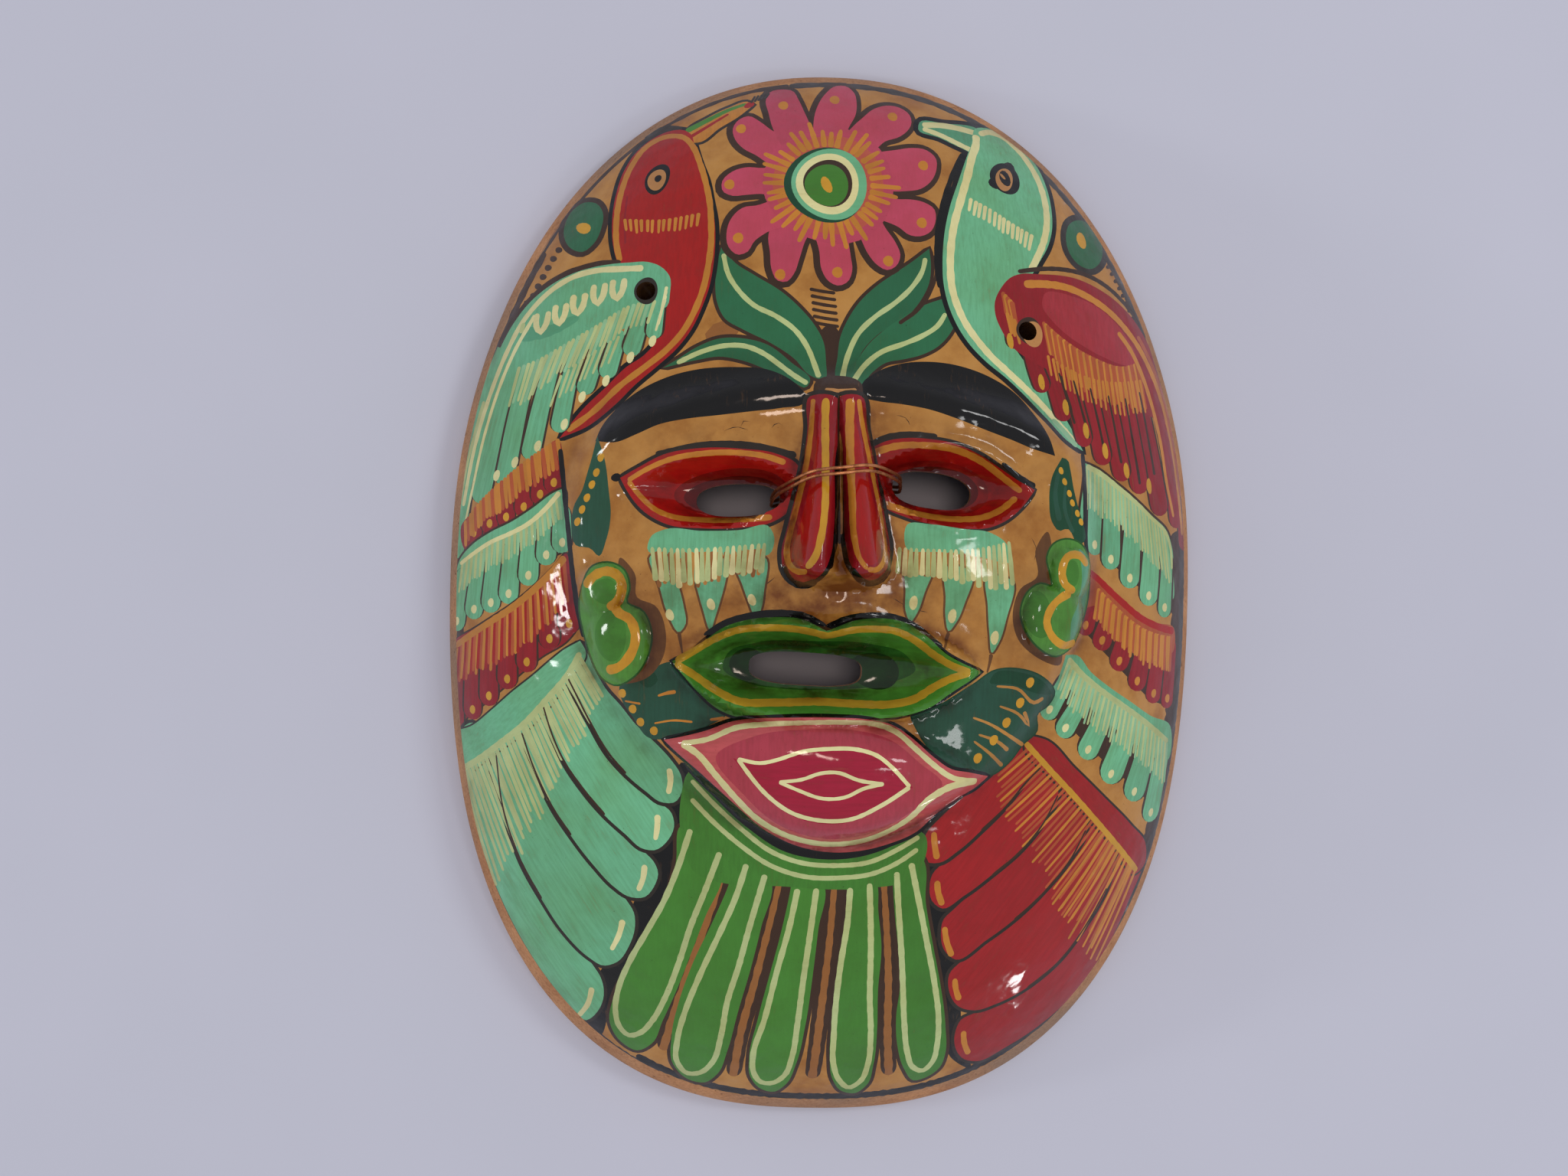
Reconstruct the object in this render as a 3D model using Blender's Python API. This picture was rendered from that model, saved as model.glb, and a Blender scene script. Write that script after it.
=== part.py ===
"""Painted clay wall mask: one hollow shell with a face in relief, and the copper wire over its nose.

The mask lies face up on its back rim. X runs to the viewer's right, Y to the top of the head and Z out of the
face, with the origin in the middle of the back plane. All sizes are in metres and all angles in degrees.
"""
import math

import bmesh
import bpy
import numpy as np
from mathutils import Vector

# Overall size of the shell
MASK_WIDTH = 0.172
MASK_LENGTH = 0.240
RIM_HEIGHT = 0.006  # upright side of the rim, below the dome
DOME_RISE = 0.046
CROWN_FULLNESS = 2.15  # exponent of the oval towards the forehead, 2 is a plain ellipse
JAW_FULLNESS = 2.45
OVAL_BLEND = 0.060  # the two exponents blend over this distance either side of the middle
DOME_CUT = 0.93  # how far down its quarter circle the dome's profile runs

# Wall and rim
RIM_WALL = 0.0062
CROWN_WALL = 0.0062
RIM_ROUND = 0.0024  # rounded outer edge of the back
CAVITY_LIP = 0.003  # height at which the hollow's dome starts
CAVITY_FLARE = 0.0008
NOSE_HOLLOW = 0.007  # the clay is thumbed out behind the nose
NOSE_HOLLOW_HALF = (0.007, 0.014)

# Raised face inside the feathers
FACE_STEP = 0.003
FACE_HALF = 0.058
FACE_MIDDLE = 0.012
FACE_UP = 0.036
FACE_DOWN = 0.066
FACE_FADE = (0.028, 0.046)  # the step dies away into the forehead between these heights

# Brow ridge and the hollows under it
BROW_RISE = 0.003
BROW_MIDDLE = 0.043
BROW_DROP = 0.0108  # how much lower the ridge is at its outer ends
BROW_HALF = 0.048
BROW_SPREAD = 0.0042
SOCKET_DEPTH = 0.0016
SOCKET_MIDDLE = (0.026, 0.026)
SOCKET_HALF = (0.019, 0.009)

# Eyes: a pointed lens that slopes down to a hole, each cut by hand
EYE_DEPTH = 0.0058
EYE_LIP = 0.001
EYE_HOLE_FULLNESS = 2.4
EYE_HOLE_SEGMENTS = 36
LEFT_EYE = {
    "lens": (-0.0270, 0.0218),
    "lens_half": (0.0194, 0.0087),
    "hole": (-0.0204, 0.0192),
    "hole_half": (0.0088, 0.0035),
    "turn": 3.0,
}
RIGHT_EYE = {
    "lens": (0.0252, 0.0232),
    "lens_half": (0.0186, 0.0096),
    "hole": (0.0206, 0.0222),
    "hole_half": (0.0086, 0.0039),
    "turn": -6.0,
}

# Nose: a wedge that carries two long lobes
NOSE_TOP = 0.043
NOSE_TIP = 0.006
NOSE_TOP_RISE = 0.0024
NOSE_TIP_RISE = 0.015
NOSE_HALF = (0.006, 0.013)  # at the top and at the tip
LOBE_OUT = (0.0023, 0.0060)
LOBE_HALF = (0.0026, 0.0053)
LOBE_SHARE = 0.45  # of the nose's rise
NOSE_MIDDLE = 0.0002
NOSE_END = 0.006
LOBE_END = 0.005

# Upper lip and cheeks
PHILTRUM_RISE = 0.0034
PHILTRUM_HALF = (0.012, 0.0055)
PHILTRUM_MIDDLE = -0.001
CHEEK_RISE = 0.0018
CHEEK_MIDDLE = (0.031, 0.002)
CHEEK_HALF = (0.013, 0.011)

# Mouth
LIP_MIDDLE = (-0.0012, -0.0156)
LIP_HALF = 0.0326
LIP_UP = 0.0106
LIP_DOWN = 0.0110
LIP_RISE = 0.004
LIP_SLOPE = 0.30  # share of the way in to the slot over which the lips rise
LIP_RECESS = 0.0095
BOW_DIP = 0.0023
BOW_HALF = 0.0045
SLOT_MIDDLE = (-0.0056, -0.0160)
SLOT_HALF = (0.0119, 0.0035)
SLOT_TURN = -2.4
SLOT_FULLNESS = 3.0
SLOT_SEGMENTS = 44

# Chin, a pointed boss under the mouth
CHIN_MIDDLE = (-0.0006, -0.0348)
CHIN_HALF = 0.0346
CHIN_UP = 0.0098
CHIN_DOWN = 0.0196
CHIN_RISE = 0.0075
CHIN_TURN = -5.8

# Ears: two lobes each, as centre and half size
EAR_RISE = 0.0026
EAR_LOBES = [
    ((-0.0490, 0.0000), (0.0049, 0.0056)),
    ((-0.0452, -0.0118), (0.0069, 0.0089)),
    ((0.0513, 0.0054), (0.0050, 0.0054)),
    ((0.0473, -0.0049), (0.0074, 0.0075)),
]

# Two holes poked through the wings for a hanging cord
CORD_HOLE_RADIUS = 0.0021
CORD_HOLES = [(-0.0412, 0.0646), (0.0418, 0.0578)]

# Copper wire wound twice over the bridge of the nose
WIRE_RADIUS = 0.00035
WIRE_PITCH = 0.0011  # from one strand to the next
WIRE_TURNS = 1.95
WIRE_POINTS = 64
WIRE_BOW = 0.0042  # how far it arches towards the brow
WIRE_PAST_HOLE = 0.0018  # from the hole's inner end to the wire
WIRE_OVER_NOSE = 0.0012
WIRE_BEHIND = 0.0040  # below the hollow's surface

# Mesh density
FRONT_CELLS = (160, 210)
FACE_DENSITY = 0.42  # how much closer the grid lines stand in the middle than evenly
CAVITY_CELLS = (22, 30)
RELIEF_KEPT = 0.078  # share of the relief's triangles that are kept
REACH = 0.030  # how far a cutter runs past the wall


def ramp(low, high, value):
    """Smooth step from 0 at low to 1 at high."""
    t = np.clip((value - low) / (high - low), 0.0, 1.0)
    return t * t * (3.0 - 2.0 * t)


def hill(value):
    """Bell curve, 1 at the middle."""
    return np.exp(-value * value)


def soft_abs(value, radius):
    """Distance from zero with a rounded crease."""
    return np.sqrt(value * value + radius * radius) - radius


def turned(x, y, centre, degrees):
    """Coordinates in a frame at centre, turned by degrees."""
    c = math.cos(math.radians(degrees))
    s = math.sin(math.radians(degrees))
    dx = x - centre[0]
    dy = y - centre[1]
    return dx * c + dy * s, dy * c - dx * s


def oval(u, v, half, fullness):
    """1 on the edge of an oval with these half sizes."""
    return (np.abs(u / half[0]) ** fullness + np.abs(v / half[1]) ** fullness) ** (1.0 / fullness)


def rim_ring(x, y, inset=0.0):
    """0 at the middle of the mask and 1 on its outline, drawn in by inset."""
    fullness = JAW_FULLNESS + (CROWN_FULLNESS - JAW_FULLNESS) * ramp(-OVAL_BLEND, OVAL_BLEND, y)
    return oval(x, y, (MASK_WIDTH / 2 - inset, MASK_LENGTH / 2 - inset), fullness)


def bowl(ring):
    """Dome profile: 1 at the middle and 0 on the outline, a circle cut off above its widest point."""
    edge = math.sqrt(1.0 - DOME_CUT**2)
    return (np.sqrt(1.0 - (DOME_CUT * np.clip(ring, 0.0, 1.0)) ** 2) - edge) / (1.0 - edge)


def face_step(x, y):
    """The face stands up from the feathers round it, inside a shield-shaped line."""
    half_height = np.where(y > FACE_MIDDLE, FACE_UP, FACE_DOWN)
    fullness = np.where(y > FACE_MIDDLE, 3.0, 1.8)
    line = oval(x, y - FACE_MIDDLE, (FACE_HALF, half_height), fullness)
    return FACE_STEP * (1.0 - ramp(0.92, 1.02, line)) * (1.0 - ramp(FACE_FADE[0], FACE_FADE[1], y))


def brows(x, y):
    """An arched ridge, with a shallow hollow under each side."""
    crest = BROW_MIDDLE - BROW_DROP * (x / BROW_HALF) ** 2
    ridge = BROW_RISE * hill((y - crest) / BROW_SPREAD) * (1.0 - ramp(0.9, 1.12, np.abs(x) / BROW_HALF))
    across = hill((np.abs(x) - SOCKET_MIDDLE[0]) / SOCKET_HALF[0])
    return ridge - SOCKET_DEPTH * across * hill((y - SOCKET_MIDDLE[1]) / SOCKET_HALF[1])


def towards_hole(inside, hole_ring, spread):
    """0 on the outer edge of a feature and 1 on the edge of the hole in it."""
    inside = np.clip(inside, 0.0, None)
    return inside / (inside + spread * np.clip(hole_ring - 1.0, 0.0, None) + 1e-9)


def eye(x, y, shape):
    """A lipped lens that falls to its hole."""
    u, v = turned(x, y, shape["lens"], shape["turn"])
    half_length, half_height = shape["lens_half"]
    inside = 1.0 - np.abs(u / half_length) ** 1.8 - soft_abs(v / half_height, 0.1)
    hole_u, hole_v = turned(x, y, shape["hole"], shape["turn"])
    t = towards_hole(inside, oval(hole_u, hole_v, shape["hole_half"], EYE_HOLE_FULLNESS), 0.45)
    return EYE_LIP * hill((t - 0.2) / 0.14) * (inside > 0) - EYE_DEPTH * ramp(0.22, 1.0, t)


def nose(x, y):
    """A wedge that widens and rises to the tip, under two lobes with round ends."""
    t = np.clip((NOSE_TOP - y) / (NOSE_TOP - NOSE_TIP), 0.0, 1.0)
    rise = NOSE_TOP_RISE + (NOSE_TIP_RISE - NOSE_TOP_RISE) * np.sin(t * math.pi / 2) ** 1.5
    past_tip = np.clip(NOSE_TIP - y, 0.0, None)
    side = np.abs(x - NOSE_MIDDLE)
    half = NOSE_HALF[0] + (NOSE_HALF[1] - NOSE_HALF[0]) * t
    wedge = 1.0 - ramp(0.3, 1.0, np.hypot(side / half, past_tip / NOSE_END))
    out = LOBE_OUT[0] + (LOBE_OUT[1] - LOBE_OUT[0]) * t
    lobe_half = LOBE_HALF[0] + (LOBE_HALF[1] - LOBE_HALF[0]) * t
    across = np.clip(np.hypot((side - out) / lobe_half, past_tip / LOBE_END), 0.0, 1.0)
    lobe = 1.0 - across**2.6
    fade = 1.0 - ramp(NOSE_TOP - 0.002, NOSE_TOP + 0.004, y)
    return rise * fade * ((1.0 - LOBE_SHARE) * wedge + LOBE_SHARE * lobe)


def cheeks_and_lip_hill(x, y):
    """The round hill between nose and mouth, and a swelling on each cheek."""
    philtrum = PHILTRUM_RISE * hill(x / PHILTRUM_HALF[0]) * hill((y - PHILTRUM_MIDDLE) / PHILTRUM_HALF[1])
    across = hill((np.abs(x) - CHEEK_MIDDLE[0]) / CHEEK_HALF[0])
    return philtrum + CHEEK_RISE * across * hill((y - CHEEK_MIDDLE[1]) / CHEEK_HALF[1])


def mouth(x, y):
    """Full lips round a recess that falls to the slot."""
    dx = x - LIP_MIDDLE[0]
    dy = y - LIP_MIDDLE[1]
    u = np.clip(np.abs(dx / LIP_HALF), 0.0, 0.999)
    upper = LIP_UP * (1.0 - u**2.7) - BOW_DIP * hill(dx / BOW_HALF)
    lower = LIP_DOWN * (1.0 - u**3.2)
    inside = (1.0 - u**3) * (1.0 - soft_abs(dy, 0.0008) / np.where(dy > 0, upper, lower))
    slot_u, slot_v = turned(x, y, SLOT_MIDDLE, SLOT_TURN)
    t = towards_hole(inside, oval(slot_u, slot_v, SLOT_HALF, SLOT_FULLNESS), 0.25)
    return LIP_RISE * ramp(0.0, LIP_SLOPE, t) - LIP_RECESS * ramp(LIP_SLOPE, 1.0, t)


def chin(x, y):
    """A boss with pointed ends, steep below and gentle above."""
    u, v = turned(x, y, CHIN_MIDDLE, CHIN_TURN)
    u = np.clip(np.abs(u / CHIN_HALF), 0.0, 0.999)
    up = np.clip(v / (CHIN_UP * (1.0 - u**2.1)), 0.0, 1.0)
    down = np.clip(-v / (CHIN_DOWN * (1.0 - u**1.7)), 0.0, 1.0)
    return CHIN_RISE * (1.0 - u**2) ** 0.8 * (1.0 - up**2) * (1.0 - down**3.2)


def ears(x, y):
    """Flat-topped lobes with steep edges."""
    height = np.zeros_like(x)
    for centre, half in EAR_LOBES:
        ring = oval(x - centre[0], y - centre[1], half, 2.2)
        height = np.maximum(height, EAR_RISE * (1.0 - np.clip(ring, 0.0, 1.0) ** 5))
    return height


def front_height(x, y):
    """Height of the mask's face above its back plane."""
    height = RIM_HEIGHT + DOME_RISE * bowl(rim_ring(x, y))
    height = height + face_step(x, y) + brows(x, y) + nose(x, y) + cheeks_and_lip_hill(x, y)
    height = height + mouth(x, y) + chin(x, y) + ears(x, y)
    return height + eye(x, y, LEFT_EYE) + eye(x, y, RIGHT_EYE)


def cavity_height(x, y):
    """Height of the hollow's surface above the back plane."""
    rise = RIM_HEIGHT + DOME_RISE - CROWN_WALL - CAVITY_LIP
    nose_middle = (NOSE_TOP + NOSE_TIP) / 2
    thumbed = hill(x / NOSE_HOLLOW_HALF[0]) * hill((y - nose_middle + 0.010) / NOSE_HOLLOW_HALF[1])
    return CAVITY_LIP + rise * bowl(rim_ring(x, y, RIM_WALL)) + NOSE_HOLLOW * thumbed


def set_places(verts, places):
    """Moves mesh vertices to the rows of an array."""
    for vert, place in zip(verts, places):
        vert.co = place


def oval_sheet(cells, inset, height):
    """A grid bent to the mask's outline, drawn in by inset and lifted by a height function."""
    mesh = bmesh.new()
    bmesh.ops.create_grid(mesh, x_segments=cells[0], y_segments=cells[1], size=1.0)
    mesh.verts.ensure_lookup_table()
    square = np.array([vert.co[:2] for vert in mesh.verts])
    square = square * (1.0 - FACE_DENSITY + FACE_DENSITY * square**2)
    # a square bent to a disc: each coordinate shrinks as the other grows
    disc = square * np.sqrt(1.0 - square[:, ::-1] ** 2 / 2.0)
    target = np.hypot(disc[:, 0], disc[:, 1])
    flat = disc * (MASK_WIDTH / 2 - inset, MASK_LENGTH / 2 - inset)
    for _ in range(6):
        ring = np.maximum(rim_ring(flat[:, 0], flat[:, 1], inset), 1e-9)
        flat = flat * (target / ring)[:, None]
    places = np.column_stack([flat, height(flat[:, 0], flat[:, 1])])
    set_places(mesh.verts, places)
    return mesh


def follow_rim(flat, inset):
    """Moves points outwards or inwards on to the outline, drawn in by inset."""
    for _ in range(6):
        flat = flat / rim_ring(flat[:, 0], flat[:, 1], inset)[:, None]
    return flat


def close_below(mesh, steps):
    """Carries a sheet's edge down through steps of (inset, height), then closes it flat."""
    edges = [edge for edge in mesh.edges if edge.is_boundary]
    for inset, height in steps:
        made = bmesh.ops.extrude_edge_only(mesh, edges=edges)["geom"]
        verts = [item for item in made if isinstance(item, bmesh.types.BMVert)]
        edges = [item for item in made if isinstance(item, bmesh.types.BMEdge) and item.is_boundary]
        flat = follow_rim(np.array([vert.co[:2] for vert in verts]), inset)
        set_places(verts, np.column_stack([flat, np.full(len(verts), height)]))
    bmesh.ops.holes_fill(mesh, edges=edges, sides=0)
    bmesh.ops.recalc_face_normals(mesh, faces=mesh.faces)


def mesh_object(name, shape, collection):
    """Turns a bmesh into an object."""
    data = bpy.data.meshes.new(name)
    shape.to_mesh(data)
    shape.free()
    made = bpy.data.objects.new(name, data)
    collection.objects.link(made)
    return made


def material(name, colour, roughness, metallic):
    """A plain Principled material."""
    made = bpy.data.materials.new(name)
    made.use_nodes = True
    shader = made.node_tree.nodes["Principled BSDF"]
    shader.inputs["Base Color"].default_value = (*colour, 1.0)
    shader.inputs["Roughness"].default_value = roughness
    shader.inputs["Metallic"].default_value = metallic
    return made


def oval_cutter(name, centre, half, turn, fullness, segments):
    """An upright oval prism that runs right through the shell."""
    shape = bmesh.new()
    tall = RIM_HEIGHT + DOME_RISE + REACH
    bmesh.ops.create_cone(shape, cap_ends=True, segments=segments, radius1=1.0, radius2=1.0, depth=tall)
    places = np.array([vert.co[:] for vert in shape.verts])
    ring = oval(places[:, 0], places[:, 1], (1.0, 1.0), fullness)
    places[:, :2] = places[:, :2] / ring[:, None] * half
    set_places(shape.verts, places)
    made = mesh_object(name, shape, cutters)
    made.location = (centre[0], centre[1], tall / 2)
    made.rotation_euler = (0.0, 0.0, math.radians(turn))
    return made


def cord_hole_cutter(name, centre):
    """A round pin square to the front surface at a point."""
    x, y = centre
    step = CORD_HOLE_RADIUS
    beside = front_height(np.array([x + step, x - step, x, x]), np.array([y, y, y + step, y - step]))
    normal = Vector((beside[1] - beside[0], beside[3] - beside[2], 2 * step))
    shape = bmesh.new()
    bmesh.ops.create_cone(shape, cap_ends=True, segments=16, radius1=step, radius2=step, depth=REACH)
    made = mesh_object(name, shape, cutters)
    made.location = (x, y, beside.mean())
    made.rotation_euler = normal.to_track_quat("Z", "Y").to_euler()
    return made


def cavity_cutter(name):
    """The hollow: its own dome, opening a little at the back edge."""
    shape = oval_sheet(CAVITY_CELLS, RIM_WALL, cavity_height)
    mouth_inset = RIM_WALL - CAVITY_FLARE
    close_below(shape, [(mouth_inset, 0.0), (mouth_inset, -REACH)])
    return mesh_object(name, shape, cutters)


def cut(target, cutter):
    """Takes a cutter out of a solid."""
    cutter.hide_render = True
    cutter.display_type = "WIRE"
    modifier = target.modifiers.new(cutter.name, "BOOLEAN")
    modifier.operation = "DIFFERENCE"
    modifier.solver = "EXACT"
    modifier.object = cutter


def make_shell():
    """The clay: relief in front, a rolled rim, a flat back edge, the hollow and the holes."""
    relief = oval_sheet(FRONT_CELLS, 0.0, front_height)
    quarter = np.radians([0.0, 30.0, 60.0, 90.0])
    rolled = [(RIM_ROUND * (1.0 - math.cos(a)), RIM_ROUND * (1.0 - math.sin(a))) for a in quarter]
    close_below(relief, rolled)
    shell = mesh_object("mask_shell", relief, parts)
    shell.data.materials.append(material("lacquered_clay", (0.43, 0.22, 0.09), 0.25, 0.0))
    shell.data.shade_smooth()

    thinned = shell.modifiers.new("thinned", "DECIMATE")
    thinned.ratio = RELIEF_KEPT

    cut(shell, cavity_cutter("hollow"))
    for side, shape in (("left", LEFT_EYE), ("right", RIGHT_EYE)):
        name = f"{side}_eye_hole"
        outline = (EYE_HOLE_FULLNESS, EYE_HOLE_SEGMENTS)
        cut(shell, oval_cutter(name, shape["hole"], shape["hole_half"], shape["turn"], *outline))
    outline = (SLOT_FULLNESS, SLOT_SEGMENTS)
    cut(shell, oval_cutter("mouth_slot", SLOT_MIDDLE, SLOT_HALF, SLOT_TURN, *outline))
    for side, centre in zip(("left", "right"), CORD_HOLES):
        cut(shell, cord_hole_cutter(f"{side}_cord_hole", centre))
    return shell


def wire_path():
    """Points along the wire: an egg-shaped loop that climbs sideways by one pitch a turn."""
    left = LEFT_EYE["hole"][0] + LEFT_EYE["hole_half"][0] - WIRE_PAST_HOLE
    right = RIGHT_EYE["hole"][0] - RIGHT_EYE["hole_half"][0] + WIRE_PAST_HOLE
    low = LEFT_EYE["hole"][1]
    climb = RIGHT_EYE["hole"][1] - low
    half = (right - left) / 2
    angle = 1.5 * math.pi + np.linspace(-1.0, 1.0, WIRE_POINTS) * WIRE_TURNS * math.pi
    across = -np.cos(angle)
    x = (left + right) / 2 + half * across
    y = low + climb * (across + 1) / 2 + WIRE_BOW * np.clip(np.sin(angle), 0.0, None)
    clay_front = front_height(x, y)
    clay_back = cavity_height(x, y)
    holes = np.array([LEFT_EYE["hole"], RIGHT_EYE["hole"]])
    side = (front_height(*holes.T) + cavity_height(*holes.T)).mean() / 2
    top = clay_front.max() + WIRE_OVER_NOSE + WIRE_RADIUS
    bottom = clay_back.min() - WIRE_BEHIND - WIRE_RADIUS
    sine = np.sin(angle)
    z = side + np.where(sine > 0, (top - side) * sine, (side - bottom) * sine)
    y = y + WIRE_PITCH * (angle / (2 * math.pi) - 0.75)
    return np.column_stack([x, y, z])


def make_wire():
    """A thin copper wire as a bevelled curve."""
    curve = bpy.data.curves.new("hanging_wire", "CURVE")
    curve.dimensions = "3D"
    curve.bevel_depth = WIRE_RADIUS
    curve.bevel_resolution = 2
    curve.use_fill_caps = True
    line = curve.splines.new("POLY")
    points = wire_path()
    line.points.add(len(points) - 1)
    for point, place in zip(line.points, points):
        point.co = (*place, 1.0)
    curve.materials.append(material("copper", (0.72, 0.33, 0.18), 0.35, 1.0))
    made = bpy.data.objects.new("hanging_wire", curve)
    parts.objects.link(made)
    return made


for leftover in list(bpy.data.objects):
    bpy.data.objects.remove(leftover, do_unlink=True)
parts = bpy.data.collections.new("painted_clay_mask")
cutters = bpy.data.collections.new("cutters")
bpy.context.scene.collection.children.link(parts)
bpy.context.scene.collection.children.link(cutters)

make_shell()
make_wire()
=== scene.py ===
import math
import bpy
import numpy as np
from mathutils import Matrix, Vector
from mathutils.geometry import delaunay_2d_cdt


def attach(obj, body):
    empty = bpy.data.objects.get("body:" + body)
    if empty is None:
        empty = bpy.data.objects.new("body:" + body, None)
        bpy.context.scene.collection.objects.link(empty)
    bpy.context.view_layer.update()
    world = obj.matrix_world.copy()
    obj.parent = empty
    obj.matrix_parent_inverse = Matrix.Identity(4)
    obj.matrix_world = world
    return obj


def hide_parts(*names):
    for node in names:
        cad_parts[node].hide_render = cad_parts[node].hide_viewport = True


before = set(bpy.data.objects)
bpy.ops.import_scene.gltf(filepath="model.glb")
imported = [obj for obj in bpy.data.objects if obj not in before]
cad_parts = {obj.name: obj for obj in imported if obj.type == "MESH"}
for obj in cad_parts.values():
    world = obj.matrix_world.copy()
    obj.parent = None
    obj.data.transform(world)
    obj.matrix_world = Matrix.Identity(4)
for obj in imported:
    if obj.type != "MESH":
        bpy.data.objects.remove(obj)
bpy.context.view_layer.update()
seeded = np.random.default_rng(11)
print("frame loaded")

# All shapes below are worked out in millimetres, x to the viewer's right, y to the top of the head, z out of
# the face, and become metres when the mesh is made.

clay = dict(
    halfWidth=86.0, halfLength=120.0, rimHeight=6.0, domeRise=46.0, domeCut=0.93,
    crownFullness=2.15, jawFullness=2.45, ovalBlend=60.0,
    rimWall=6.2, crownWall=6.2, hollowLip=3.0,
    edgeDrop=0.9, edgeReach=2.6,  # soft edge where the dome meets the rim's side
    sideFoot=3.8, rimRound=2.4, footEdge=((4.0, 0.0), (5.4, 0.25), (6.0, 1.3)),  # inset and height
    thumbRise=7.0, thumbMiddle=14.5, thumbHalf=(7.0, 14.0), dents=0.35,  # pressed in behind the nose
    rawBand=2.1, rawBandLow=1.3, rawBandFade=(-52.0, -100.0),  # bare round the paint, more under the chin
    wobble=0.32,  # unevenness left by the potter's fingers
)

# spacing of the nets of triangles, finer in an oval round the face
net = dict(
    cell=1.4, faceCell=1.0, hollowCell=2.8, inset=1.2, rings=(0.45, 1.0, 1.6), hollowInset=1.6,
    hollowRings=(0.9, 2.0), ovalMiddle=-6.0, ovalHalf=(59.0, 56.0), ovalFullness=2.6, outlinePoints=640,
    square=0.42, wallSteps=(0.12, 0.3, 0.65, 1.0), paintedWall=0.5,  # down a hole's wall, and the paint in it
)

face = dict(
    step=3.0, stepHalf=58.0, stepMiddle=12.0, stepUp=36.0, stepDown=66.0, stepFade=(28.0, 46.0),
    browRise=3.0, browMiddle=43.0, browDrop=10.8, browHalf=48.0, browSpread=4.2,
    socketDepth=1.6, socketMiddle=(26.0, 26.0), socketHalf=(19.0, 9.0),
    eyeDepth=5.8, eyeLip=1.0, eyeFullness=2.4,
    leftEye=dict(lens=(-27.0, 21.8), lensHalf=(19.4, 8.7), hole=(-20.4, 19.2), holeHalf=(8.8, 3.5), turn=3.0),
    rightEye=dict(lens=(25.2, 23.2), lensHalf=(18.6, 9.6), hole=(20.6, 22.2), holeHalf=(8.6, 3.9), turn=-6.0),
    noseTop=43.0, noseTip=6.0, noseTopRise=2.4, noseTipRise=15.0, noseHalf=(6.0, 13.0), noseMiddle=0.2,
    lobeOut=(2.3, 6.0), lobeHalf=(2.6, 5.3), lobeShare=0.45, noseEnd=6.0, lobeEnd=5.0,
    lipHillRise=3.4, lipHillHalf=(12.0, 5.5), lipHillMiddle=-1.0,
    cheekRise=1.8, cheekMiddle=(31.0, 2.0), cheekHalf=(13.0, 11.0),
    lipMiddle=(-1.2, -15.6), lipHalf=32.6, lipUp=10.6, lipDown=11.0, lipRise=4.0, lipSlope=0.30,
    lipRecess=9.5, bowDip=2.3, bowHalf=4.5,
    slot=(-5.6, -16.0), slotHalf=(11.9, 3.5), slotTurn=-2.4, slotFullness=3.0,
    chinMiddle=(-0.6, -34.8), chinHalf=34.6, chinUp=9.8, chinDown=19.6, chinRise=7.5, chinTurn=-5.8,
    earRise=2.6,
    earLobes=(((-49.0, 0.0), (4.9, 5.6)), ((-45.2, -11.8), (6.9, 8.9)),
              ((51.3, 5.4), (5.0, 5.4)), ((47.3, -4.9), (7.4, 7.5))),
    cordHoles=((-41.2, 64.6), (41.8, 57.8)), cordHoleRadius=2.1, cordHoleLean=5.0,
)


# smooth step, 0 below low and 1 above high: t*t*(3 - 2t)
def smoothRamp(low, high, value):
    t = np.clip((value - low) / (high - low), 0.0, 1.0)
    return t * t * (3.0 - 2.0 * t)


# bell curve exp(-v*v)
def bell(value):
    return np.exp(-value * value)


# distance from zero with a rounded crease
def softAbs(value, radius):
    return np.sqrt(value * value + radius * radius) - radius


# coordinates in a frame at centre, turned by degrees
def turnedTo(x, y, centre, degrees):
    c, s = math.cos(math.radians(degrees)), math.sin(math.radians(degrees))
    dx, dy = x - centre[0], y - centre[1]
    return dx * c + dy * s, dy * c - dx * s


# 1 on the edge of a superellipse: (|u/a|^n + |v/b|^n)^(1/n)
def ovalRing(u, v, half, fullness):
    return (np.abs(u / half[0]) ** fullness + np.abs(v / half[1]) ** fullness) ** (1.0 / fullness)


# 0 at the middle of the mask and 1 on its outline drawn in by inset; rounder at the crown than at the jaw
def maskRing(x, y, inset=0.0):
    blend = smoothRamp(-clay["ovalBlend"], clay["ovalBlend"], y)
    fullness = clay["jawFullness"] + (clay["crownFullness"] - clay["jawFullness"]) * blend
    return ovalRing(x, y, (clay["halfWidth"] - inset, clay["halfLength"] - inset), fullness)


# dome profile: the top of a circle, 1 in the middle and 0 on the outline
def bowl(ring):
    edge = math.sqrt(1.0 - clay["domeCut"] ** 2)
    return (np.sqrt(1.0 - (clay["domeCut"] * np.clip(ring, 0.0, 1.0)) ** 2) - edge) / (1.0 - edge)


# 0 on a feature's outer edge and 1 on the edge of the hole in it
def towardsHole(inside, holeRing, spread):
    inside = np.clip(inside, 0.0, None)
    return inside / (inside + spread * np.clip(holeRing - 1.0, 0.0, None) + 1e-9)


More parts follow.
